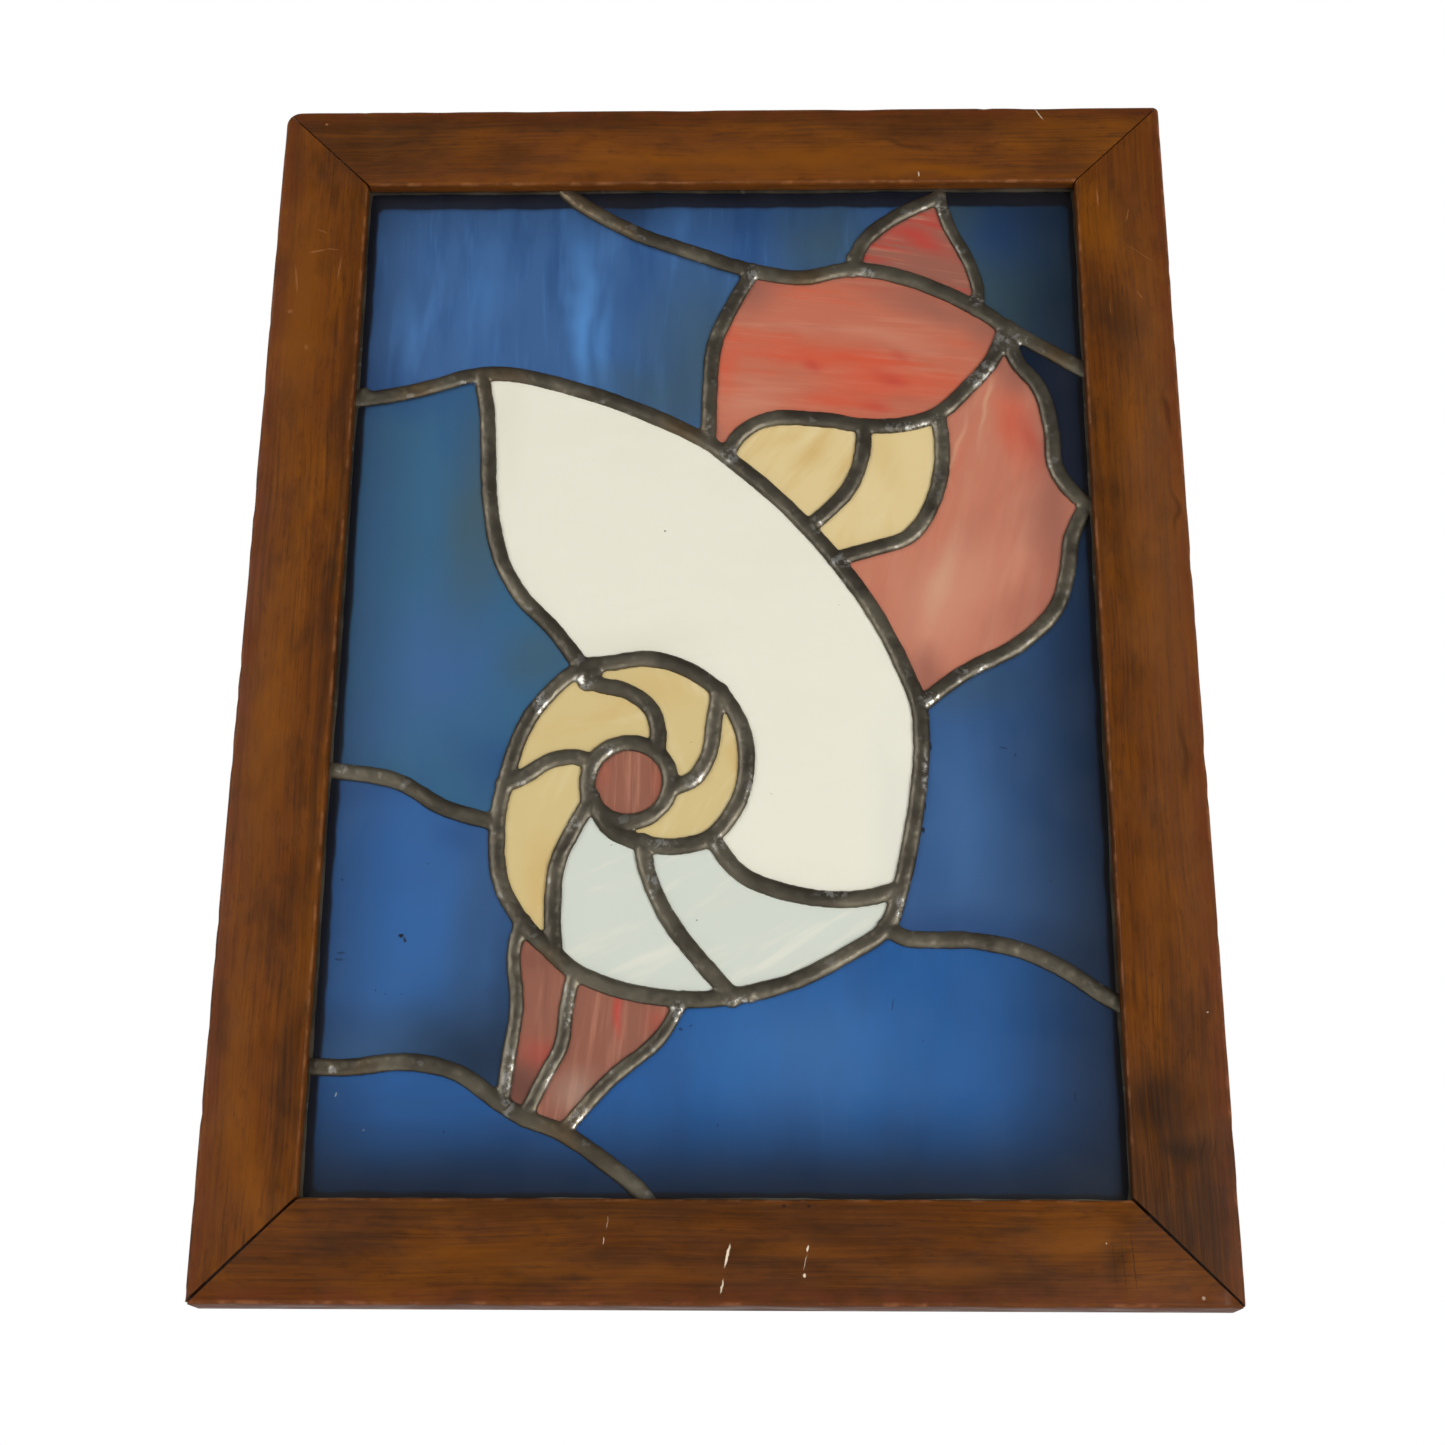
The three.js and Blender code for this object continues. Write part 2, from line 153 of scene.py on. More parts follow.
# The seams, each one smooth curve through its points, with the name of its bead's width
SEAMS = {
    "shell spiral": ("plain", [
        (OUT_LEFT, 76.5), (1, 76.7), (7.9, 77.6), "apex", (22, 79.3), (31.7, 77.4), (40.7, 74.85),
        "hood foot", "brow foot", (57.9, 66), "spine foot", "throat foot", (70.8, 54), (74.7, 48),
        "chin foot", (76.35, 40), (75.3, 34), "chamber tip", "heel", (66.7, 21.6), (59.9, 19.1),
        "belly", "tail right top", (38.6, 18.2), "tail middle top", "chamber left foot",
        "tail left top", (22.6, 28.3), "sky left end", "whorl left end", (24.8, 42.6), (28, 46.1),
        "crown", (36.2, 49.15), (41, 49.55), (46, 48.5), "whorl right top", (52.9, 43.3),
        (53.85, 39.4), (52.7, 35.5), "chamber right top", (45, 31.4), "chamber middle top",
        (36.6, 33), on_eye(202)]),
    "shell front": ("plain", [
        "apex", (18.1, 75.5), (18.6, 70.1), (19.1, 65.6), (20.8, 60), (23.7, 56), (28.2, 52.6),
        "crown"]),
    "whorl top": ("plain", [
        "crown", (34.2, 47.1), (38, 46.4), (41.1, 44.8), (42.3, 42.7), on_eye(48)]),
    "whorl left": ("plain", [
        "whorl left end", (25.2, 38.1), (28.3, 39.5), (31.5, 39.95), on_eye(150)]),
    "whorl right": ("plain", [
        "whorl right top", (49.6, 43.4), (49.1, 40.5), (47.3, 38), on_eye(-10)]),
    "chamber left": ("plain", [
        on_eye(206), (31.6, 32.9), (29.9, 29.9), (29.35, 26), "chamber left foot"]),
    "chamber middle": ("plain", [
        "chamber middle top", (41.6, 28.3), (44.3, 24.4), (48, 21), "belly"]),
    "chamber right": ("plain", [
        "chamber right top", (52.8, 29.1), (57.6, 27.4), (64.4, 26.5), (69.3, 26.7),
        "chamber tip"]),
    "sky top": ("broad", [
        (25.6, OUT_TOP), (29.1, 99.3), (37.6, 95.4), (46, 93), "hood top", (61.5, 90.05),
        "crest foot", (76, 89.9), "crest end", "beak", (95.6, 81.6), (99.4, 79.9),
        (OUT_RIGHT, 78.2)]),
    "sky left": ("plain", [
        (OUT_LEFT, 39), (2, 38.5), (8.8, 37.6), (15, 35.1), "sky left end"]),
    "sky right": ("plain", [
        "heel", (74, 22.95), (82, 22.75), (88.4, 21.8), (93, 20.3), (98, 17.9),
        (OUT_RIGHT, 15.5)]),
    "sky low": ("plain", [
        (OUT_LEFT, 11.5), (5, 11.4), (12, 11.85), (18.1, 11), "tail left foot",
        "tail middle foot", "tail right foot", (36.7, 3.3), (41.6, 0.4), (44.5, OUT_BOTTOM)]),
    "tail left": ("fine", [
        "tail left top", (24.7, 21.5), (25.3, 16.8), (24.7, 12.8), "tail left foot"]),
    "tail middle": ("fine", [
        "tail middle top", (31.6, 17), (31, 13.3), (29.2, 10.7), "tail middle foot"]),
    "tail right": ("fine", ["tail right top", (43.2, 14), (37.4, 10.5), "tail right foot"]),
    "hood left": ("plain", [
        "hood top", (51.5, 86.6), (49.3, 82.6), (48.7, 77.9), "hood foot"]),
    "hood brow": ("plain", [
        "brow foot", (52.8, 72.7), (56.6, 74.35), (63.8, 74.35), "spine top", (75, 73.75),
        "throat top", (84.5, 78.05), (87.5, 80.7), "beak"]),
    "hood spine": ("plain", ["spine top", (69.3, 70.1), (67.3, 66.7), "spine foot"]),
    "hood throat": ("plain", [
        "throat top", (80.3, 70.5), (78.9, 65.6), (75.6, 62), (70.8, 60.7), "throat foot"]),
    "crest left": ("plain", ["crest foot", (70.1, 94), (73.8, 96.5), "crest tip"]),
    "crest right": ("fine", [
        (80.8, OUT_TOP), "crest tip", (82.2, 95.9), (84.9, 91.6), (86, 88.4), "crest end"]),
    "hood right": ("plain", [
        "beak", (90.8, 80.8), (93.9, 77.5), (95.2, 73), (95.4, 69.4), (97, 67.1), "side tip",
        (OUT_RIGHT, 62.9)]),
    "hood chin": ("plain", [
        "side tip", (97.3, 62), (96.3, 58), (94.4, 54.3), (89.5, 50.9), (82, 48), "chin foot"]),
}

# Pools of solder that fill the forks between seams: place and radius in millimetres
POOLS = [
    ("apex", 3.6), ("hood foot", 3.7), ("brow foot", 3.6), ("spine foot", 3.7),
    ("throat foot", 3.6), ("chin foot", 3.6), ("chamber tip", 3.3), ("heel", 4.1), ("belly", 4.6),
    ("tail right top", 3.8), ("tail middle top", 3.6), ("chamber left foot", 3.9),
    ("tail left top", 3.9), ("sky left end", 3.5), ("whorl left end", 4.2), ("crown", 4.9),
    ("whorl right top", 4.3), ("chamber right top", 3.6), ("chamber middle top", 4.2),
    ("hood top", 4.2), ("crest foot", 4.2), ("crest end", 4.3), ("beak", 4.6), ("spine top", 3.7),
    ("throat top", 3.7), ("crest tip", 3.4), ("side tip", 3.6), ("tail left foot", 3.6),
    ("tail middle foot", 3.8), ("tail right foot", 3.6), (on_eye(203), 4.3), (on_eye(230), 3.8),
    (on_eye(255), 3.6), (on_eye(48), 3.5), (on_eye(150), 3.7), (on_eye(-10), 3.7),
    ((54.3, 17.9), 3.8), ((68.7, 92.2), 3.7), ((1, 77.2), 3.8), ((33.6, 48.1), 4.3),
    ((33, 47.3), 4.4),
]

# Where the solder is painted bright: partly patina worn to bright metal, partly painted highlights
# at the joints and on the beads' lower right sides. Place, reach across and up in millimetres
WORN_AND_GLINT_SOLDER = [
    ((15.5, 78.2), 5, 3), ((51.6, 70.4), 6, 5), ((48.6, 73.5), 2, 7), ((54.5, 90), 4, 8),
    ((53.6, 87.6), 2, 8), ((63.6, 63), 5, 6), ((66.6, 59.3), 7, 4), ((76.5, 73.3), 13, 3.5),
    ((79.4, 74), 4, 4), ((86, 79), 10, 9), ((89, 82.6), 5, 8), ((91.3, 82.8), 5, 4),
    ((77.8, 45.3), 7, 5), ((84, 48.3), 12, 3), ((54.5, 35.6), 3.5, 16), ((50.4, 31.6), 4, 5),
    ((47.6, 37.2), 5, 7), ((44.9, 33.6), 4, 4), ((43, 31.6), 8, 3), ((32.6, 47.2), 6, 4),
    ((27, 45), 4, 7), ((25.6, 37), 5, 4), ((23.6, 33), 2, 12), ((31.6, 33.4), 4, 4),
    ((42, 28.4), 3, 12), ((24.8, 9.9), 3.5, 18), ((32, 16.4), 3, 12), ((30, 10), 3, 10),
    ((45.4, 16.2), 4, 6), ((33.6, 7), 8, 6), ((70.4, 90.4), 5, 3), ((76, 95.3), 8, 4),
    ((81.4, 97.6), 4, 6), ((3, 11.1), 3, 2), ((1.6, 38.7), 3, 3),
    ((53.4, 17.2), 9, 3), ((65, 27), 9, 2.5), ((73.2, 25.6), 3, 7), ((76.8, 38), 2, 14),
    ((85.6, 87.2), 5, 4), ((34.6, 37.6), 3, 9), ((36, 40.5), 5, 3),
]

# Where the soldering iron's heat has left a brown bloom: place, reach in millimetres
BROWN_SOLDER = [
    ((30, 99), 22), ((38, 95.3), 18), ((20, 79.5), 20), ((45, 73.4), 16), ((8, 77.5), 14),
    ((33, 4.6), 26), ((5, 11.4), 16), ((96, 81.2), 14), ((62, 90), 14), ((29, 20.8), 10),
]


def tint(name, description, red, green, blue):
    """A colour property whose default is given as an 8-bit screen colour."""
    def linear(part):
        """One part of a screen colour on the linear scale."""
        share = part / 255
        return share / 12.92 if share <= 0.04045 else ((share + 0.055) / 1.055) ** 2.4

    return FloatVectorProperty(
        name=name,
        description=description,
        subtype="COLOR",
        size=3,
        min=0.0,
        max=1.0,
        default=(linear(red), linear(green), linear(blue)),
    )


def length(name, description, default):
    """A length property."""
    return FloatProperty(
        name=name,
        description=description,
        subtype="DISTANCE",
        unit="LENGTH",
        min=0.0,
        precision=5,
        default=default,
    )


class WindowSizes(bpy.types.PropertyGroup):
    """Sizes of the pieces made here. What the solids fix is read from the frame."""

    plain_bead: length("Bead width", "Width of most solder beads", 0.0072)
    fine_bead: length("Fine bead width", "Width of the beads in the tail and crest", 0.0062)
    broad_bead: length("Broad bead width", "Width of the long bead at the top", 0.0076)
    bead_crown: length("Bead crown", "How far a front bead stands off the glass", 0.0019)
    back_crown: length("Back crown", "How far a back bead stands off the glass", 0.0014)
    bead_lumps: length("Bead lumps", "How far a bead's surface wanders", 0.00026)
    front_voxel: length("Front voxel", "Grain of the front beads' mesh", 0.00062)
    back_voxel: length("Back voxel", "Grain of the back beads' mesh", 0.00095)
    outer_round: length("Outer rounding", "Radius along the frame's outer front edge", 0.0020)
    inner_round: length("Inner rounding", "Radius along the lip's front edge", 0.0012)
    back_round: length("Back rounding", "Radius along the frame's back edges", 0.0006)
    edge_wear: length("Edge wear", "Most that knocks have taken off an edge", 0.0005)
    rail_cuts: IntProperty(
        name="Rail cuts",
        description="Cross cuts along a rail, which its worn edges follow",
        min=8,
        default=110,
    )
    putty_slope: length("Putty slope", "How far the putty's back edge slopes", 0.0024)
    putty_waves: length("Putty waves", "How far the putty's inner edge wanders", 0.0009)
    lens: FloatProperty(
        name="Lens",
        description="Focal length of the camera on a 36 mm sensor",
        subtype="DISTANCE_CAMERA",
        min=1.0,
        default=54.6,
    )
    floor_drop: length("Floor drop", "How far the floor lies below the window", 0.95)


class WindowColours(bpy.types.PropertyGroup):
    """Colours of the finishes."""

    wood: tint("Wood", "Varnished stain on the rails", 99, 52, 12)
    wood_light: tint("Light wood", "Orange-brown patches in the stain", 128, 72, 10)
    # Dark wood also paints shade: over the whole bottom and right rails and the top rail's left
    # end.
    wood_dark: tint("Dark wood", "Dark grain and smudges", 46, 27, 12)
    wood_red: tint("Red wood", "Reddish stain gathered along the edges", 96, 44, 20)
    wood_worn: tint("Worn wood", "Bare wood where the stain has rubbed off", 158, 104, 66)
    wood_scratch: tint("Scratch", "Raw wood in a scratch", 226, 206, 178)
    solder: tint("Solder", "Dark patina on the beads", 112, 105, 90)
    solder_dark: tint("Dark solder", "Deepest patina", 80, 74, 63)
    solder_brown: tint("Brown solder", "Heat bloom on the patina", 100, 84, 62)
    # Bright solder is partly worn metal and partly painted highlight.
    solder_bright: tint("Bright solder", "Worn metal", 190, 188, 182)
    putty: tint("Putty", "Set glazing putty", 34, 32, 34)
    # The rim is painted on the glass along the frame: partly the putty bed seen through it, partly
    # painted shade from the frame.
    rim: tint("Rim", "Dark bed seen through the glass along the frame", 10, 9, 18)
    blue: tint("Blue", "Body of the water glass", 54, 92, 140)
    blue_clear: tint("Clear blue", "Brighter body of the lower water glass", 33, 91, 153)
    blue_pale: tint("Pale blue", "Wisps in the water glass", 80, 134, 192)
    blue_deep: tint("Deep blue", "Shade in the water glass", 30, 68, 118)
    # The teal is painted light: the tint of what lies behind the glass, seen through it.
    blue_teal: tint("Teal", "Greener water glass left of the shell", 47, 91, 123)
    # Slate also paints the shade of the beads, in areas along the seams.
    blue_slate_and_shade: tint("Slate", "Greyed water glass", 60, 84, 96)
    # Dusk is also painted shade: the shade beside the rails and in areas along the frame and the
    # seams.
    blue_dusk_and_shade: tint("Dusk", "Darkest water glass", 2, 22, 44)
    white: tint("White", "Shell glass", 234, 231, 214)
    white_cool: tint("Cool white", "Bluish chamber glass", 211, 216, 205)
    white_shade: tint("White shade", "Faint clouding in the shell glass", 222, 218, 198)
    cream: tint("Cream", "Whorl glass", 214, 192, 136)
    cream_warm: tint("Warm cream", "Inner hood glass", 224, 201, 147)
    cream_amber: tint("Amber", "Streaks in the cream glass", 208, 172, 104)
    cream_pale: tint("Pale cream", "Paler streaks in the cream glass", 230, 217, 176)
    coral: tint("Coral", "Hood glass", 196, 112, 86)
    coral_peach: tint("Peach", "Glass of the hood's side", 198, 124, 99)
    coral_red: tint("Coral red", "Red streaks in the hood", 214, 78, 46)
    coral_pink: tint("Coral pink", "Pale streaks in the hood", 208, 144, 118)
    coral_dusk: tint("Coral dusk", "Dull pink edge of the hood", 156, 98, 82)
    crest: tint("Crest red", "Red band in the crest", 190, 66, 56)
    russet: tint("Russet", "Red-brown glass", 148, 94, 76)
    russet_pale: tint("Pale russet", "Streaks in the red-brown glass", 178, 122, 98)
    russet_dark: tint("Dark russet", "Shade in the red-brown glass", 100, 62, 52)
    speck: tint("Speck", "Dirt and dark flaws", 14, 16, 22)
    floor: tint("Floor", "Plain pale floor", 236, 235, 232)


class Finish:
    """One procedural material, built node by node. Each method returns the output that it adds."""

    def __init__(self, name, **plain):
        """Starts a material with constants for some of the shader's inputs."""
        self.material = bpy.data.materials.new(name)
        self.material.use_nodes = True
        self.tree = self.material.node_tree
        self.shader = self.tree.nodes["Principled BSDF"]
        self.place = self.tree.nodes.new("ShaderNodeTexCoord").outputs["Object"]
        for socket, value in plain.items():
            self.shader.inputs[socket.replace("_", " ")].default_value = value

    def add(self, kind, inputs, output=0, **settings):
        """One node with its inputs and settings."""
        node = self.tree.nodes.new(kind)
        for key, value in settings.items():
            setattr(node, key, value)
        for key, value in inputs.items():
            self.feed(node.inputs[key], value)
        return node.outputs[output]

    def feed(self, socket, value):
        """Links an output to an input, or sets the input to a constant."""
        if isinstance(value, bpy.types.NodeSocket):
            self.tree.links.new(value, socket)
        else:
            socket.default_value = value

    def calc(self, operation, first, second=0.0):
        """Arithmetic with two numbers."""
        return self.add("ShaderNodeMath", {0: first, 1: second}, operation=operation)

    def times(self, first, second):
        """The product of two numbers."""
        return self.calc("MULTIPLY", first, second)

    def vector(self, operation, first, second=(0, 0, 0), output=0):
        """Arithmetic with two vectors. Output 1 holds the number that some operations give."""
        inputs = {0: first, 1: second}
        return self.add("ShaderNodeVectorMath", inputs, output=output, operation=operation)

    def local(self, start, middle=(0, 0, 0), turn=(0, 0, 0), unit=(1, 1, 1)):
        """Coordinates about a middle, turned and then measured in units of their own."""
        inputs = {"Vector": start, "Location": middle, "Rotation": turn, "Scale": unit}
        return self.add("ShaderNodeMapping", inputs, vector_type="TEXTURE")

    def cloud(self, at, scale=1.0, detail=3.0, roughness=0.5):
        """Soft noise from 0 to 1."""
        inputs = {"Vector": at, "Scale": scale, "Detail": detail, "Roughness": roughness}
        return self.add("ShaderNodeTexNoise", inputs)

    def span(self, value, low, high, to_low=0.0, to_high=1.0):
        """A soft step from low to high, or down again where low is the greater."""
        inputs = {0: value, 1: low, 2: high, 3: to_low, 4: to_high}
        return self.add("ShaderNodeMapRange", inputs, interpolation_type="SMOOTHSTEP")

    def mix(self, share, first, second):
        """The first colour where the share is 0 and the second where it is 1."""
        inputs = {0: share, 6: as_colour(first), 7: as_colour(second)}
        return self.add("ShaderNodeMix", inputs, output=2, data_type="RGBA")

    def stir(self, start, amount, at, scale=1.0):
        """Coordinates shifted about by up to half the amount, by a soft noise read elsewhere."""
        inputs = {"Vector": at, "Scale": scale, "Detail": 1.0}
        shift = self.add("ShaderNodeTexNoise", inputs, output=1)
        centred = self.vector("SUBTRACT", shift, (0.5, 0.5, 0.5))
        return self.vector("ADD", start, self.vector("MULTIPLY", centred, amount))

    def wander(self, amount, scale):
        """The object's coordinates, stirred so that spots read with them have loose rims."""
        return self.stir(self.place, (amount, amount, amount), self.place, scale)

    def axis(self, name):
        """One of the object's coordinates."""
        return self.add("ShaderNodeSeparateXYZ", {0: self.place}, output=name)

    def spot(self, at, centre, across, upward, turn=0.0, core=0.0):
        """1 within the core of an oval spot on the face, falling to 0 at its rim."""
        if turn:
            oval = self.local(at, centre, (0, -math.radians(turn), 0), (across, 1e3, upward))
        else:
            share = Vector((1 / across, 0, 1 / upward))
            inputs = {0: at, 1: share, 2: -share * centre}
            oval = self.add("ShaderNodeVectorMath", inputs, operation="MULTIPLY_ADD")
        distance = self.vector("LENGTH", oval, output=1)
        return self.span(distance, 1.0, core)

    def bump(self, height, depth, strength=1.0, under=None):
        """A bumped normal, on top of the one under it."""
        inputs = {"Strength": strength, "Distance": depth, "Height": height}
        if under is not None:
            inputs["Normal"] = under
        return self.add("ShaderNodeBump", inputs)


def as_colour(value):
    """A colour or an output, as a colour input takes it."""
    return value if isinstance(value, bpy.types.NodeSocket) else (*value, 1.0)


def dress(obj, material):
    """Gives an object one material."""
    obj.data.materials.clear()
    obj.data.materials.append(material)


def new_piece(name, bm, material, slot, *nodes):
    """A finished piece from a bmesh. It rides on the window, and stands for the solids named."""
    mesh = bpy.data.meshes.new(name)
    bm.normal_update()
    bm.to_mesh(mesh)
    bm.free()
    mesh.shade_smooth()
    mesh.set_sharp_from_angle(angle=SHARP_ANGLE)
    obj = bpy.data.objects.new(name, mesh)
    bpy.context.scene.collection.objects.link(obj)
    dress(obj, material)
    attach(obj, "root")
    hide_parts(*nodes)
    return obj


def mesh_of(data, modify=None):
    """The mesh that a curve or a mesh gives once its modifiers are done."""
    obj = bpy.data.objects.new("draft", data)
    bpy.context.scene.collection.objects.link(obj)
    if modify is not None:
        modify(obj)
    depsgraph = bpy.context.evaluated_depsgraph_get()
    mesh = bpy.data.meshes.new_from_object(obj.evaluated_get(depsgraph))
    bpy.data.objects.remove(obj)
    return mesh


def everything(bm):
    """All the parts of a bmesh, as its operators take them."""
    return [*bm.verts, *bm.edges, *bm.faces]


def open_edges(bm):
    """The edges round the holes of a bmesh."""
    return [edge for edge in bm.edges if edge.is_boundary]


def waves(at, parts):
    """Soft noise at a point, summed from parts of a frequency, a share and a shift."""
    return sum(share * noise.noise(at * frequency + Vector(shift))
               for frequency, share, shift in parts)


# Solder

# Metres: how far the middle of a bead lies off the glass, where its underside is cut, and the
# gap that its ends keep to the rails
BEAD_MIDDLE = 0.0003
BEAD_FOOT = 0.00005
BEAD_END_GAP = 0.0001

# How often the fused beads are smoothed, and the swells, ripples and dimples in them
SMOOTHING_ROUNDS = 4
BEAD_WAVES = ((95, 1.0, (0, 0, 0)), (260, 0.7, (7, 3, 5)), (620, 0.3, (1, 9, 4)))


def add_seam(curve, points, radius, closed=False):
    """One spline of a seam's curve, centripetal, as the solids' seams are."""
    if closed:
        run = [points[-1], *points, points[0]]
    else:
        run = [points[0] * 2 - points[1], *points, points[-1] * 2 - points[-2]]
    spline = curve.splines.new("BEZIER")
    spline.bezier_points.add(len(points) - 1)
    spline.use_cyclic_u = closed
    for i, knot in enumerate(spline.bezier_points):
        before, here, after = run[i : i + 3]
        step_in = math.sqrt((here - before).length)
        step_out = math.sqrt((after - here).length)
        slope = (here - before) / step_in + (after - here) / step_out
        slope -= (after - before) / (step_in + step_out)
        knot.co = here
        knot.handle_left = here - slope * step_in / 3
        knot.handle_right = here + slope * step_out / 3
        knot.radius = radius


def seam_tubes(sizes):
    """Round tubes along all the seams, as one mesh about the level 0."""
    half = {
        "plain": sizes.plain_bead / 2,
        "fine": sizes.fine_bead / 2,
        "broad": sizes.broad_bead / 2,
    }
    curve = bpy.data.curves.new("seams", "CURVE")
    curve.dimensions = "3D"
    curve.bevel_depth = 1.0
    curve.bevel_resolution = 4
    curve.resolution_u = 10
    curve.use_fill_caps = True
    for width, points in SEAMS.values():
        route = [place(*JOINTS[point]) if isinstance(point, str) else place(*point)
                 for point in points]
        add_seam(curve, route, half[width])
    ring = [place(*on_eye(360 * i / EYE_POINTS)) for i in range(EYE_POINTS)]
    add_seam(curve, ring, half["plain"], closed=True)
    return mesh_of(curve)


def lump(bm, amount):
    """Lets a bead's surface wander, in slow swells and small dimples."""
    bm.normal_update()
    for vert in bm.verts:
        vert.co += vert.normal * amount * waves(vert.co, BEAD_WAVES)


def clip(bm, point, outward):
    """Cuts away what lies past a plane and leaves the cut open."""
    bmesh.ops.bisect_plane(
        bm, geom=everything(bm), dist=TINY, plane_co=point, plane_no=outward, clear_outer=True
    )


def solder_beads(sizes, crown, voxel, side, glass_level):
    """The beads of one face, fused at their joints. side is -1 for the front and 1 for the back."""
    bm = bmesh.new()
    bm.from_mesh(seam_tubes(sizes))
    bmesh.ops.remove_doubles(bm, verts=bm.verts, dist=TINY)
    for spot, radius in POOLS:
        centre = place(*(JOINTS[spot] if isinstance(spot, str) else spot))
        level = Matrix.Diagonal((1, sizes.plain_bead / 2 / (radius * MM), 1, 1))
        bmesh.ops.create_icosphere(
            bm, subdivisions=3, radius=radius * MM, matrix=Matrix.Translation(centre) @ level
        )
    flatten = Matrix.Diagonal((1, crown / (sizes.plain_bead / 2), 1, 1))
    base = Matrix.Translation((0, glass_level + side * BEAD_MIDDLE, 0))
    bmesh.ops.transform(bm, matrix=base @ flatten, verts=bm.verts)
    rough = bpy.data.meshes.new("tubes")
    bm.to_mesh(rough)
    bm.free()

    def fuse(obj):
        """Joins the tubes into one closed skin."""
        remesh = obj.modifiers.new("Fuse", "REMESH")
        remesh.mode = "VOXEL"
        remesh.voxel_size = voxel

    bm = bmesh.new()
    bm.from_mesh(mesh_of(rough, fuse))
    for _ in range(SMOOTHING_ROUNDS):
        bmesh.ops.smooth_vert(
            bm, verts=bm.verts, factor=0.5, use_axis_x=True, use_axis_y=True, use_axis_z=True
        )
    lump(bm, sizes.bead_lumps)
    for corner, outward in (
        (place(0, 0), Vector((-1, 0, 0))), (place(0, 0), Vector((0, 0, -1))),
        (place(100, 100), Vector((1, 0, 0))), (place(100, 100), Vector((0, 0, 1))),
    ):
        clip(bm, corner - outward * BEAD_END_GAP, outward)
        bmesh.ops.holes_fill(bm, edges=open_edges(bm), sides=0)
    clip(bm, (0, glass_level + side * BEAD_FOOT, 0), (0, -side, 0))
    bmesh.ops.triangle_fill(bm, edges=open_edges(bm), use_beauty=True, normal=(0, -side, 0))
    bmesh.ops.recalc_face_normals(bm, faces=bm.faces)
    return bm


def nearness(at, spots):
    """1 in the middle of the nearest of the oval spots and 0 outside all of them."""
    reach = min(math.hypot((at.x - x) / across, (at.z - z) / upward)
                for x, z, across, upward in spots)
    return max(0.0, 1.0 - reach)


def note_wear_and_glints(obj):
    """Keeps how bright and how brown the solder is at each point as attributes of the mesh. The
    bright share is partly wear and partly painted highlight.
    """
    worn = [(place(*spot).x, place(*spot).z, across * MM, upward * MM)
            for spot, across, upward in WORN_AND_GLINT_SOLDER]
    brown = [(place(*spot).x, place(*spot).z, reach * MM, reach * MM)
             for spot, reach in BROWN_SOLDER]
    for name, spots in (("worn", worn), ("brown", brown)):
        layer = obj.data.attributes.new(name, "FLOAT", "POINT")
        layer.data.foreach_set("value", [nearness(v.co, spots) for v in obj.data.vertices])


def solder_finish(colours):
    """Dark patina with brown bloom, bright where it was touched and along the joints: partly worn
    metal, partly painted highlights.
    """
    f = Finish("patinated_solder", Metallic=0.78)
    mottle = f.cloud(f.place, 50, 3, 0.5)
    shade = f.mix(f.span(mottle, 0.35, 0.68), colours.solder_dark, colours.solder)
    noted = {name: f.add("ShaderNodeAttribute", {}, output="Fac", attribute_name=name)
             for name in ("brown", "worn")}
    brown = f.times(f.span(noted["brown"], 0, 1), f.span(mottle, 0.3, 0.6))
    shade = f.mix(brown, shade, colours.solder_brown)
    # The worn attribute marks worn metal and painted highlights alike.
    worn = f.span(noted["worn"], 0, 0.7)
    scuffed = f.span(f.cloud(f.place, 420, 3, 0.65), 0.46, 0.6)
    faint = f.span(f.cloud(f.place, 150, 2), 0.62, 0.70, 0.0, 0.3)
    bright = f.calc("MAXIMUM", f.times(worn, scuffed), faint)
    shade = f.mix(f.times(bright, 0.7), shade, colours.solder_bright)
    f.feed(f.shader.inputs["Base Color"], shade)
    matt = f.span(f.cloud(f.place, 210, 3), 0.3, 0.7, 0.38, 0.48)
    f.feed(f.shader.inputs["Roughness"], f.calc("SUBTRACT", matt, f.times(bright, 0.16)))
    grain = f.bump(f.cloud(f.place, 900, 3, 0.6), 0.00010, 0.6)
    swell = f.bump(f.cloud(f.place, 300, 2), 0.00014, 0.4, grain)
    f.feed(f.shader.inputs["Normal"], swell)
    return f.material


# Rings: the panel's foiled edge and the putty

# Metres: how thick and how wide the foil on the panel's edge is, the gap that it keeps to the
# panes, the width of the strip round their ends, and how its inner edge is set back and sways
EDGE_CROWN = 0.0007
EDGE_REACH = 0.0066
EDGE_GAP = 0.0003
EDGE_STRIP = 0.001
EDGE_SET_BACK = 0.0004
EDGE_SWAY = 0.0008
EDGE_WAVES = ((22, 1.0, (0, 0, 0)), (90, 0.5, (0, 0, 0)))

# Metres: how far the putty reaches in past the frame's lip before it is pushed back, the radius
# of its inner corners, and how deep the knife has hollowed it
PUTTY_PAST_LIP = 0.003
PUTTY_CORNER = 0.007
PUTTY_HOLLOW = 0.0006
PUTTY_WAVES = ((35, 0.5, (0, 0, 0)), (120, 0.3, (0, 0, 0)))


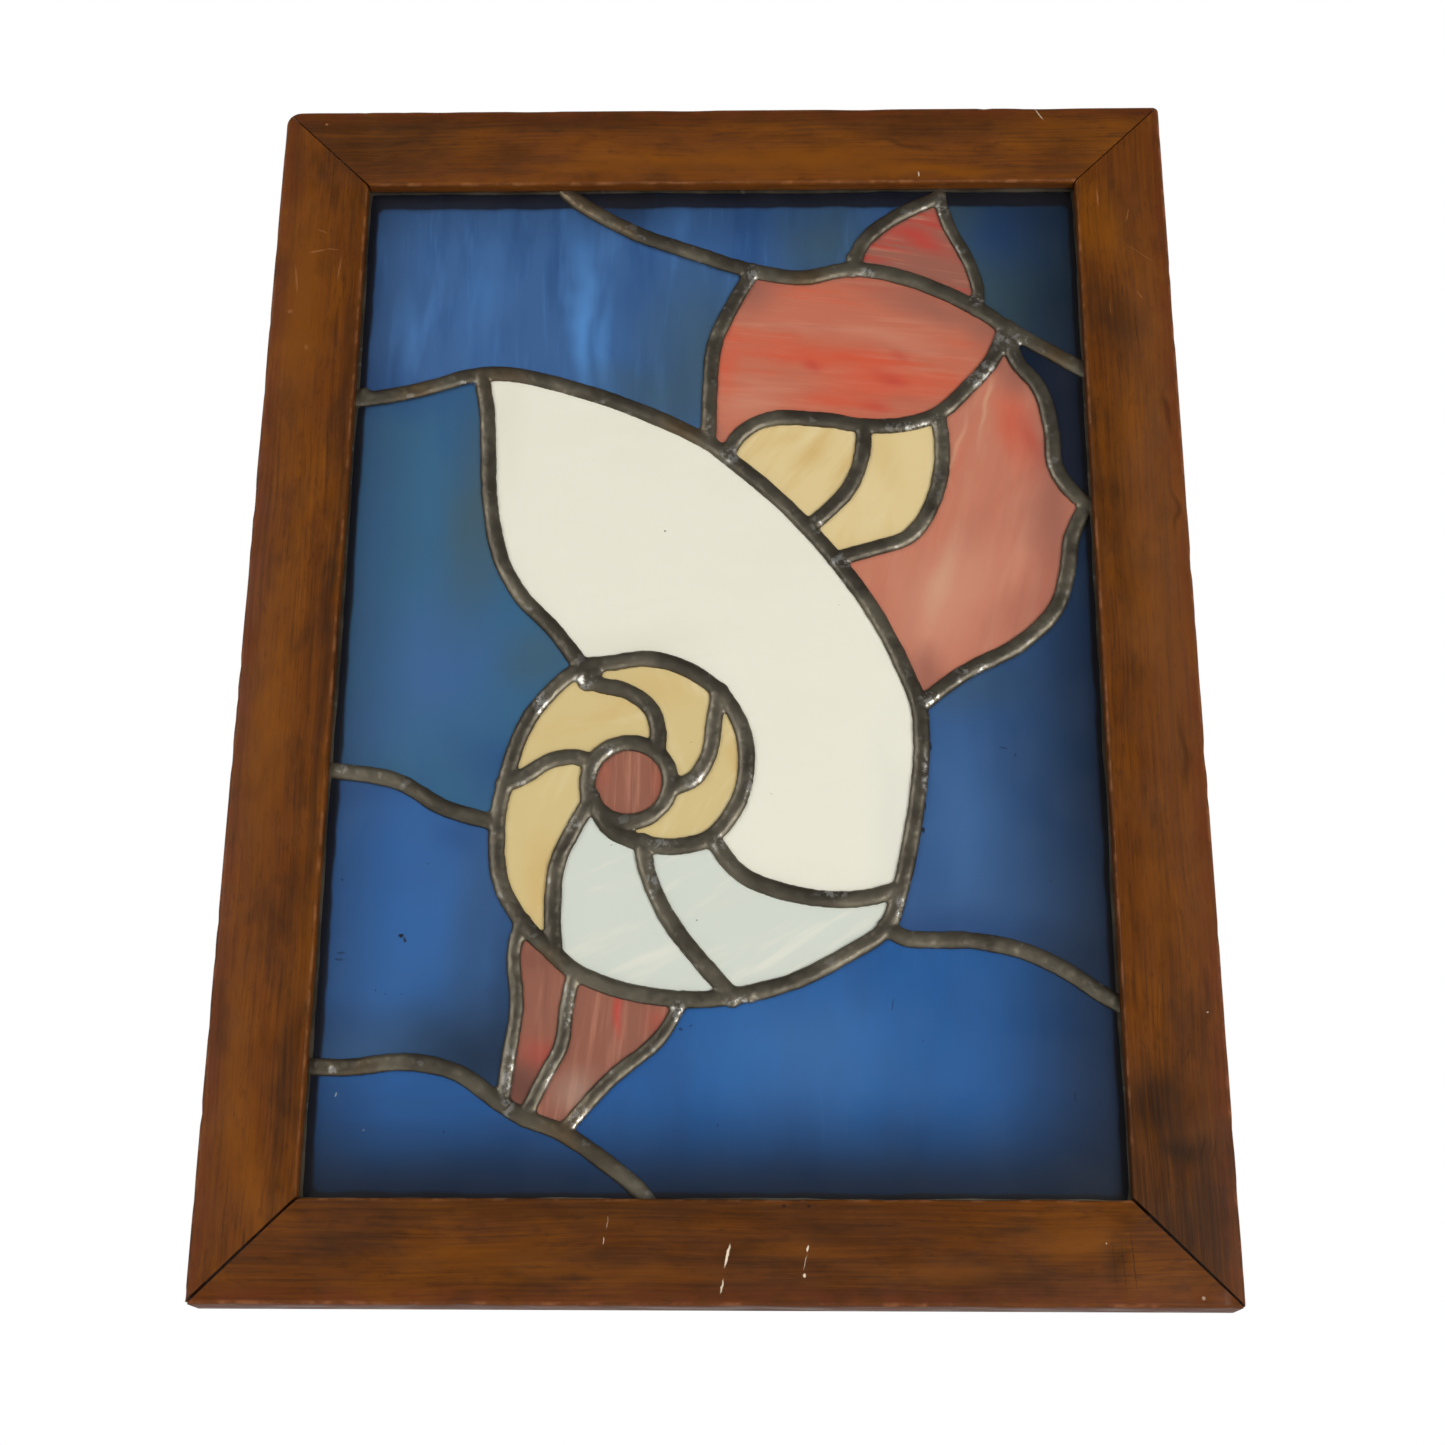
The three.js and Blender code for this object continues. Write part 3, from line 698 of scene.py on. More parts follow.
def add_ring(bm, low, high, reach, levels, cuts, corner_round=0.0):
    """A flat ring inside the box from low to high, between two levels. Returns its inner verts."""
    corners = [(low.x, low.z), (high.x, low.z), (high.x, high.z), (low.x, high.z)]
    draft = bmesh.new()
    outline = draft.faces.new([draft.verts.new((x, levels[0], z)) for x, z in corners])
    outline.normal_update()
    bmesh.ops.inset_region(
        draft, faces=[outline], use_boundary=True, use_even_offset=True, thickness=reach
    )
    inner = list(outline.verts)
    bmesh.ops.delete(draft, geom=[outline], context="FACES_ONLY")
    if corner_round > 0:
        bmesh.ops.bevel(
            draft, geom=inner, offset=corner_round, offset_type="OFFSET", segments=6,
            profile=0.5, affect="VERTICES", clamp_overlap=True, material=-1
        )
    span = min(high.x - low.x, high.z - low.z) / 2
    long_edges = [edge for edge in draft.edges if edge.calc_length() > span]
    bmesh.ops.subdivide_edges(draft, edges=long_edges, cuts=cuts, use_grid_fill=True)
    grown = bmesh.ops.extrude_face_region(draft, geom=list(draft.faces))
    moved = [item for item in grown["geom"] if isinstance(item, bmesh.types.BMVert)]
    bmesh.ops.translate(draft, verts=moved, vec=(0, levels[1] - levels[0], 0))
    bmesh.ops.recalc_face_normals(draft, faces=draft.faces)
    mesh = bpy.data.meshes.new("ring")
    draft.to_mesh(mesh)
    draft.free()
    known = len(bm.verts)
    bm.from_mesh(mesh)
    bm.verts.ensure_lookup_table()

    def from_rim(vert):
        """How far a point lies inside the ring's outer edge."""
        at = vert.co
        return min(at.x - low.x, high.x - at.x, at.z - low.z, high.z - at.z)

    return [vert for vert in bm.verts[known:] if from_rim(vert) > reach / 2]


def push_out(vert, amount):
    """Moves a point of a ring's inner edge away from the opening's middle, square to that edge."""
    from_middle = vert.co - MIDDLE
    half = (place(100, 100) - place(0, 0)) / 2
    sideways = abs(from_middle.x) / half.x > abs(from_middle.z) / half.z
    if sideways:
        vert.co.x += math.copysign(amount, from_middle.x)
    else:
        vert.co.z += math.copysign(amount, from_middle.z)


def panel_edge():
    """The foil and solder round the panel's edge, under the lip, its inner edge uneven."""
    bm = bmesh.new()
    front = (GLASS_FRONT - EDGE_GAP - EDGE_CROWN, GLASS_FRONT - EDGE_GAP)
    back = (GLASS_BACK + EDGE_GAP, GLASS_BACK + EDGE_GAP + EDGE_CROWN)
    for levels in (front, back):
        for vert in add_ring(bm, PANEL_LOW, PANEL_HIGH, EDGE_REACH, levels, cuts=150):
            push_out(vert, EDGE_SET_BACK - EDGE_SWAY * waves(vert.co, EDGE_WAVES))
    add_ring(bm, PANEL_LOW, PANEL_HIGH, EDGE_STRIP, (front[1], back[0]), cuts=4)
    return bm


def putty_bed(sizes):
    """The ring of putty behind the panel, sloped and uneven where a knife has run along it."""
    bm = bmesh.new()
    levels = (PUTTY_LOW.y, PUTTY_HIGH.y)
    reach = LEFT - PUTTY_LOW.x + PUTTY_PAST_LIP
    for vert in add_ring(bm, PUTTY_LOW, PUTTY_HIGH, reach, levels, 120, PUTTY_CORNER):
        behind = (vert.co.y - levels[0]) / (levels[1] - levels[0])
        wave = 0.5 + waves(vert.co, PUTTY_WAVES)
        push_out(vert, sizes.putty_waves * wave + sizes.putty_slope * behind)
        vert.co.y -= PUTTY_HOLLOW * behind * (0.5 + noise.noise(vert.co * 60))
    return bm


def putty_finish(colours):
    """Matt set putty, finely cracked and dusty."""
    f = Finish("dark_putty", Roughness=0.85)
    dusty = f.span(f.cloud(f.place, 130, 5, 0.65), 0.45, 0.75)
    shade = f.mix(f.times(dusty, 0.35), colours.putty, colours.wood_dark)
    f.feed(f.shader.inputs["Base Color"], shade)
    grain = f.bump(f.cloud(f.place, 700, 4, 0.6), 0.0003, 0.7)
    f.feed(f.shader.inputs["Normal"], f.bump(f.cloud(f.place, 90, 3), 0.0006, 0.6, grain))
    return f.material


# Wooden frame

# Rails: turn about the middle of the face, and the gaps at the mitre of each end, in millimetres
# at the outer and at the inner corner. The end on the left is the one at the rail's own left,
# seen with its outer edge down.
RAILS = {
    "rail_bottom": (0, ((0.65, 0.5), (0.4, 0.65))),
    "rail_right": (90, ((0.4, 0.65), (0.15, 0.2))),
    "rail_top": (180, ((0.15, 0.2), (0.12, 0.16))),
    "rail_left": (-90, ((0.12, 0.16), (0.65, 0.5))),
}

# Radii of the frame's corners in millimetres, by the signs of x and z from the middle
CORNER_ROUNDS = {(-1, 1): 6.5, (1, 1): 2.6, (-1, -1): 1.2, (1, -1): 1.5}

# Cross cuts a millimetre apart at a rail's ends, which the rounded corners follow
END_CUTS = 8

# Metres: the panel's play in the rabbet, and how far the lip stays in front of the glass
RABBET_PLAY = 0.0006
LIP_PLAY = 0.0013

# Wear of the edges: frequencies of its soft rubs and of its knocks, the height of the noise at
# which a knock begins, and how much deeper than a rub it goes
RUB_WAVES, KNOCK_WAVES = 40, 170
KNOCK_START, KNOCK_DEPTH = 0.25, 1.6


def rail_body(sizes, rail_length, face_width, lip_level, rabbet_edge, ends):
    """A rail along x, its outer edge at y = 0 and its face at the top, mitred at both ends."""
    depth = -FACE_LEVEL
    profile = [
        (0, 0), (rabbet_edge, 0), (rabbet_edge, lip_level), (face_width, lip_level),
        (face_width, depth), (0, depth),
    ]
    bm = bmesh.new()
    end = bm.faces.new([bm.verts.new((-rail_length / 2, y, z)) for y, z in profile])
    grown = bmesh.ops.extrude_face_region(bm, geom=[end])
    moved = [item for item in grown["geom"] if isinstance(item, bmesh.types.BMVert)]
    bmesh.ops.translate(bm, verts=moved, vec=(rail_length, 0, 0))
    bmesh.ops.recalc_face_normals(bm, faces=bm.faces)
    for y, z, radius, segments in (
        (0, depth, sizes.outer_round, 5),
        (face_width, depth, sizes.inner_round, 4),
        (face_width, lip_level, sizes.back_round, 2),
        (0, 0, sizes.back_round, 2),
        (rabbet_edge, 0, sizes.back_round, 2),
    ):
        along = [edge for edge in bm.edges
                 if all(abs(v.co.y - y) + abs(v.co.z - z) < TINY for v in edge.verts)]
        bmesh.ops.bevel(
            bm, geom=along, offset=radius, offset_type="OFFSET", segments=segments, profile=0.5,
            affect="EDGES", clamp_overlap=True, material=-1
        )
    long_edges = [edge for edge in bm.edges if edge.calc_length() > rail_length / 2]
    bmesh.ops.subdivide_edges(bm, edges=long_edges, cuts=sizes.rail_cuts, use_grid_fill=True)
    for step in range(1, END_CUTS + 1):
        for side in (-1, 1):
            bmesh.ops.bisect_plane(
                bm, geom=everything(bm), dist=TINY,
                plane_co=(side * (rail_length / 2 - step * MM), 0, 0), plane_no=(1, 0, 0)
            )
    for side, (outer_gap, inner_gap) in zip((-1, 1), ends):
        outer = Vector((side * (rail_length / 2 - outer_gap * MM), 0, 0))
        inner_x = rail_length / 2 - face_width - inner_gap * MM
        along_mitre = Vector((side * inner_x, face_width, 0)) - outer
        outward = Vector((along_mitre.y, -along_mitre.x, 0)) * side
        clip(bm, outer, outward)
        bmesh.ops.holes_fill(bm, edges=open_edges(bm), sides=0)
    return bm


def wear_edges(bm, sizes, face_width, seed):
    """Knocks and rubs the front edges back a little, unevenly."""
    bm.normal_update()
    depth = -FACE_LEVEL
    for vert in bm.verts:
        from_front = depth - vert.co.z
        from_side = min(vert.co.y, face_width - vert.co.y)
        if from_front > sizes.outer_round + TINY or from_side > sizes.outer_round + TINY:
            continue
        spot = Vector((vert.co.x, seed, vert.co.y))
        rub = max(0.0, noise.noise(spot * RUB_WAVES))
        knock = max(0.0, noise.noise(spot * KNOCK_WAVES) - KNOCK_START) * KNOCK_DEPTH
        vert.co -= vert.normal * sizes.edge_wear * (rub + knock)


def round_corners(bm):
    """Rounds the frame's outer corners as if sanded after it was joined."""
    low, high = CAD_BOX
    for vert in bm.verts:
        side_x = 1 if vert.co.x > MIDDLE.x else -1
        side_z = 1 if vert.co.z > MIDDLE.z else -1
        radius = CORNER_ROUNDS[side_x, side_z] * MM
        edge_x = high.x if side_x > 0 else low.x
        edge_z = high.z if side_z > 0 else low.z
        inset = min(abs(edge_x - vert.co.x), abs(edge_z - vert.co.z))
        centre = Vector((edge_x - side_x * radius, vert.co.y, edge_z - side_z * radius))
        arm = vert.co - centre
        beyond = arm.x * side_x > 0 and arm.z * side_z > 0
        if beyond and inset < radius and arm.length > radius - inset:
            vert.co = centre + arm * ((radius - inset) / arm.length)


def build_rail(sizes, name, turn, ends):
    """One rail in its place."""
    low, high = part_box(name)
    across = turn % 180 == 0
    rail_length = (high - low).x if across else (high - low).z
    face_width = (high - low).z if across else (high - low).x
    rabbet_edge = face_width - (LEFT - PANEL_LOW.x) - RABBET_PLAY
    lip_level = -GLASS_FRONT + LIP_PLAY
    bm = rail_body(sizes, rail_length, face_width, lip_level, rabbet_edge, ends)
    wear_edges(bm, sizes, face_width, turn / 37)
    out = (CAD_BOX[1] - CAD_BOX[0]) / 2
    reach = out.z if across else out.x
    angle = math.radians(turn)
    stand = Matrix.Translation((MIDDLE.x, 0, MIDDLE.z)) @ Matrix.Rotation(math.pi / 2, 4, "X")
    shift = Matrix.Translation((math.sin(angle) * reach, -math.cos(angle) * reach, 0))
    bmesh.ops.transform(
        bm, matrix=stand @ shift @ Matrix.Rotation(angle, 4, "Z"), verts=bm.verts
    )
    round_corners(bm)
    bmesh.ops.recalc_face_normals(bm, faces=bm.faces)
    return bm


# Broad areas of each rail: which of the wood's colours, place, reach along x and z in
# millimetres, turn in degrees, strength. The dark areas over the whole bottom and right rails and
# at the top rail's left end are painted shade.
WOOD_AREAS = {
    "rail_top": [
        ("worn", (60, 105), 420, 60, 0, 0.07), ("dark", (50, 107.8), 600, 9, 0, 0.5),
        # The first area on this line, at the rail's left end, is painted shade.
        ("dark", (0, 104), 84, 26, 0, 0.66), ("dark", (28, 107), 60, 9, -4, 0.5),
        ("light", (58, 102.5), 90, 12, 2, 0.62), ("light", (33, 102), 52, 8, 8, 0.4),
        ("dark", (82, 106), 70, 8, -3, 0.45), ("dark", (76, 104.5), 26, 3, -4, 0.55),
        ("light", (80, 101.4), 52, 5, 0, 0.7), ("dark", (99, 104), 24, 18, 30, 0.45),
        ("dark", (60, 105.6), 34, 2.5, 3, 0.35),
    ],
    "rail_bottom": [
        # The first area darkens the whole rail: painted shade.
        ("dark", (50, -5), 420, 60, 0, 0.4), ("dark", (36, -0.8), 190, 8, 0, 0.5),
        ("light", (60, -4.2), 34, 6, 0, 0.35), ("light", (42, -6.2), 40, 5, 0, 0.3),
        ("light", (22, -5), 60, 9, 0, 0.35), ("dark", (64, -2.4), 30, 6, 0, 0.4),
        ("light", (93, -3.5), 26, 10, 0, 0.5), ("dark", (97.5, -5.5), 7, 14, 4, 0.5),
        ("light", (80, -6), 40, 6, 0, 0.3), ("dark", (3, -4), 16, 9, 0, 0.35),
        ("dark", (53, -8), 150, 4, 0, 0.3),
    ],
    "rail_left": [
        ("dark", (-1, 50), 6, 330, 0, 0.5), ("light", (-8, 86), 14, 90, 0, 0.6),
        ("dark", (-3, 104), 26, 16, 40, 0.5), ("light", (-8, 42), 14, 90, 0, 0.5),
        ("dark", (-3.4, 27), 7, 16, 0, 0.4), ("dark", (-5, 24), 10, 12, 20, 0.5),
        ("light", (-7, 3), 12, 26, 20, 0.4), ("dark", (-2.4, 11), 8, 44, 0, 0.7),
        ("light", (-9, 12), 8, 50, 0, 0.4), ("dark", (-2, 96), 5, 40, 0, 0.3),
    ],
    "rail_right": [
        # The first area darkens the whole rail: painted shade.
        ("dark", (106, 50), 60, 420, 0, 0.22), ("light", (104, 94), 12, 26, 0, 0.55),
        ("dark", (105, 84), 17, 26, 10, 0.7), ("worn", (109, 62), 24, 260, 0, 0.18),
        ("dark", (110.4, 74), 2.5, 14, 0, 0.75), ("dark", (110.6, 64), 2.2, 16, 2, 0.7),
        ("dark", (105, 107), 30, 14, 45, 0.45), ("light", (105, 55), 9, 60, 0, 0.25),
        ("dark", (109.6, 40), 3, 22, 0, 0.6), ("dark", (110, 18), 4, 26, 0, 0.5),
        ("dark", (103, 8), 15, 24, 0, 1.0), ("dark", (106, 4), 17, 9, 0, 0.9),
        ("dark", (105, -2), 60, 76, 0, 0.85), ("dark", (111, -2), 3, 16, 0, 0.5),
        ("light", (104.5, 27), 8, 40, 0, 0.3),
    ],
}

# Scratches, scuffs and the dark marks of dents, in colour only, with the same values
WOOD_MARKS = {
    "rail_top": [
        ("scratch", (95.4, 107.9), 0.35, 4.2, 32, 0.55), ("scratch", (78, 100.9), 0.4, 1.6, 0, 0.7),
        ("worn", (-6.6, 107.2), 0.7, 0.7, 0, 0.8),
    ],
    "rail_bottom": [
        ("scratch", (51.7, -4.7), 0.62, 5.2, -14, 1.0),
        ("scratch", (51.1, -7.2), 0.4, 3.2, -12, 0.8),
        ("scratch", (61.2, -4.1), 0.45, 1.6, -10, 0.9), ("scratch", (60.8, -6.3), 0.6, 0.9, 0, 0.9),
        ("scratch", (60.9, -5.2), 0.18, 3.4, -12, 0.5), ("scratch", (37, -3.5), 0.3, 1.6, -5, 0.6),
        ("scratch", (37.4, -2), 0.16, 3, -6, 0.35), ("scratch", (107.5, -8), 0.8, 0.9, 20, 0.35),
        ("scratch", (96.5, -3.6), 0.4, 0.4, 0, 0.45), ("dark", (58.4, -0.6), 1.0, 0.8, 0, 0.9),
        ("dark", (61.4, -0.6), 0.9, 0.8, 0, 0.9), ("dark", (99.6, -5), 0.35, 14, 3, 0.6),
        ("dark", (98.4, -5.5), 0.3, 12, 3, 0.5), ("dark", (97.3, -5.2), 0.3, 13, 3, 0.4),
    ],
    "rail_left": [
        ("worn", (-9.1, 89.2), 0.5, 9, 8, 0.4), ("worn", (-6.5, 92.4), 4.5, 0.6, 12, 0.45),
        ("worn", (-3.2, 90.4), 0.5, 7, -6, 0.35), ("worn", (-4.4, 92.6), 3.4, 0.5, -6, 0.3),
        ("worn", (-9.6, 85.6), 1.6, 1.2, 20, 0.35), ("worn", (-6, 94.7), 3.6, 0.4, -22, 0.28),
        ("worn", (-7, 81.6), 1.0, 1.6, 0, 0.3),
    ],
    "rail_right": [
        ("worn", (103, 98), 0.4, 5, 2, 0.55), ("worn", (107, 96), 0.35, 4.5, -12, 0.4),
        ("worn", (108.5, 91.6), 0.2, 9, 52, 0.35), ("worn", (108, 87), 0.3, 3, 35, 0.45),
        ("worn", (112.8, 94.5), 0.5, 3, 0, 0.5), ("scratch", (112.6, 81), 0.8, 1.2, 0, 0.5),
        ("worn", (103.8, 85.5), 0.2, 4, 0, 0.3), ("scratch", (110.3, 16), 0.5, 0.3, 0, 0.7),
        ("dark", (105.4, 4.2), 0.5, 5.2, -20, 0.7), ("dark", (107, 3.9), 0.5, 4.6, -16, 0.7),
        ("dark", (108.6, 4.3), 0.5, 5, -14, 0.6), ("dark", (110, 4.2), 0.4, 5, -10, 0.6),
        ("dark", (107.2, 12), 0.3, 6, -30, 0.5), ("dark", (105.6, 87.5), 0.4, 5, 0, 0.6),
        ("dark", (107.2, 83), 0.3, 9, 4, 0.6), ("dark", (104.4, 79), 0.3, 8, 4, 0.5),
    ],
}


def edge_distance(f, low, high, radius=0.0, wobble=0.0):
    """Distance outwards from a rounded box on the face, less than 0 inside. It can wobble."""
    middle = (low + high) / 2
    half = (high - low) / 2 - Vector((radius, 0, radius))
    arm = f.vector("ABSOLUTE", f.vector("SUBTRACT", f.place, tuple(middle)))
    past = f.vector("MULTIPLY", f.vector("SUBTRACT", arm, tuple(half)), (1, 0, 1))
    outside = f.vector("LENGTH", f.vector("MAXIMUM", past), output=1)
    past_x, past_z = (f.add("ShaderNodeSeparateXYZ", {0: past}, output=axis) for axis in "XZ")
    inside = f.calc("MINIMUM", f.calc("MAXIMUM", past_x, past_z), 0.0)
    distance = f.calc("SUBTRACT", f.calc("ADD", outside, inside), radius)
    if wobble > 0:
        wave = f.calc("SUBTRACT", f.cloud(f.place, 70, 1), 0.5)
        distance = f.calc("ADD", distance, f.times(wave, 2 * wobble))
    return distance


# The grain along a rail: reach of each noise along and across it in metres, detail, roughness
GRAIN = {
    "rings": (0.30, 0.0052, 2, 0.5),
    "fibre": (0.045, 0.0011, 3, 0.62),
    "pores": (0.012, 0.00034, 1, 0.5),
    "fleck": (0.007, 0.0022, 2, 0.65),
}

# How far the grain bows along the rail, in depth and across its face, in metres
GRAIN_BOW = (0.0, 0.004, 0.006)

# Layers of stain: the noise that each follows, where it starts and fills out on that, its
# strength and its colour
STAIN = (
    ("blotch", 0.42, 0.70, 0.55, "light"), ("deep", 0.48, 0.72, 0.5, "dark"),
    ("rings", 0.5, 0.72, 0.32, "dark"), ("fibre", 0.48, 0.70, 0.42, "dark"),
    ("fleck", 0.52, 0.74, 0.34, "dark"), ("fibre", 0.48, 0.30, 0.22, "light"),
)


def wood_finish(colours, name, upright, seed):
    """Stained and varnished softwood: grain along the rail, blotches, painted shade on some rails,
    worn edges and scratches.
    """
    f = Finish("wood_" + name, Specular_IOR_Level=0.12)
    tones = {tone: getattr(colours, "wood_" + tone)
             for tone in ("light", "dark", "red", "worn", "scratch")}
    lay = f.local(f.place, (seed, seed / 2, -seed), (0, math.pi / 2 if upright else 0, 0))
    bent = f.stir(lay, GRAIN_BOW, f.local(lay, unit=(0.09, 0.03, 0.03)))
    noises = {}
    for layer, (along, across, detail, roughness) in GRAIN.items():
        reach = f.local(bent, unit=(along, across, across))
        noises[layer] = f.cloud(reach, 1.0, detail, roughness)
    fibre = noises["fibre"]
    noises["blotch"] = f.cloud(f.local(lay, unit=(0.05, 0.02, 0.02)), 1.0, 3, 0.6)
    noises["deep"] = f.cloud(f.local(lay, (3, 1, 2), unit=(0.034, 0.014, 0.014)), 1.0, 3, 0.62)
    shade = colours.wood
    for layer, low, high, strength, tone in STAIN:
        shade = f.mix(f.span(noises[layer], low, high, 0.0, strength), shade, tones[tone])
    loose = f.wander(0.011, 55)
    patchy = f.span(fibre, 0.2, 0.6, 0.6, 1)
    for tone, spot, across, upward, turn, strength in WOOD_AREAS[name]:
        mask = f.spot(loose, place(*spot), across * MM, upward * MM, turn)
        shade = f.mix(f.times(f.times(mask, strength), patchy), shade, tones[tone])
    outer = edge_distance(f, *CAD_BOX, radius=0.003)
    inner = edge_distance(f, place(0, 0), place(100, 100))
    rub = f.cloud(f.place, 120, 2, 0.6)
    red = f.times(f.span(outer, -0.010, -0.001), f.span(rub, 0.35, 0.65, 0.15, 0.6))
    shade = f.mix(red, shade, tones["red"])
    near_outer = f.span(outer, -0.0019, -0.0006)
    near_inner = f.span(inner, 0.0015, 0.0004)
    front = f.span(f.axis("Y"), FACE_LEVEL + 0.0022, FACE_LEVEL + 0.0006)
    edges = f.times(f.calc("MAXIMUM", near_outer, near_inner), front)
    shade = f.mix(f.times(edges, f.span(rub, 0.45, 0.68, 0.05, 0.45)), shade, tones["worn"])
    marks = 0.0
    fine = f.wander(0.0007, 700)
    for tone, spot, across, upward, turn, strength in WOOD_MARKS[name]:
        mask = f.spot(fine, place(*spot), across * MM, upward * MM, turn, core=0.45)
        mask = f.times(mask, f.times(front, strength))
        shade = f.mix(mask, shade, tones[tone])
        marks = f.calc("MAXIMUM", marks, mask)
    shade = f.mix(f.span(f.axis("Y"), -0.004, -0.0005, 0.0, 0.35), shade, tones["dark"])
    f.feed(f.shader.inputs["Base Color"], shade)
    satin = f.span(f.cloud(f.local(lay, unit=(0.02, 0.008, 0.008)), 1.0, 1), 0.3, 0.7, 0.36, 0.52)
    f.feed(f.shader.inputs["Roughness"], f.calc("ADD", satin, f.times(marks, 0.25)))
    height = f.calc("ADD", f.times(fibre, 0.7), f.times(noises["pores"], 0.4))
    f.feed(f.shader.inputs["Normal"], f.bump(height, 0.00012, 0.55))
    return f.material


# Glass

# Each family of glass: the slot that it belongs to, and the share of light that it passes
FAMILIES = {
    "blue": ("blue_glass", 0.4),
    "white": ("white_glass", 0.10),
    "cream": ("cream_glass", 0.12),
    "coral": ("coral_glass", 0.22),
    "red": ("red_glass", 0.22),
}
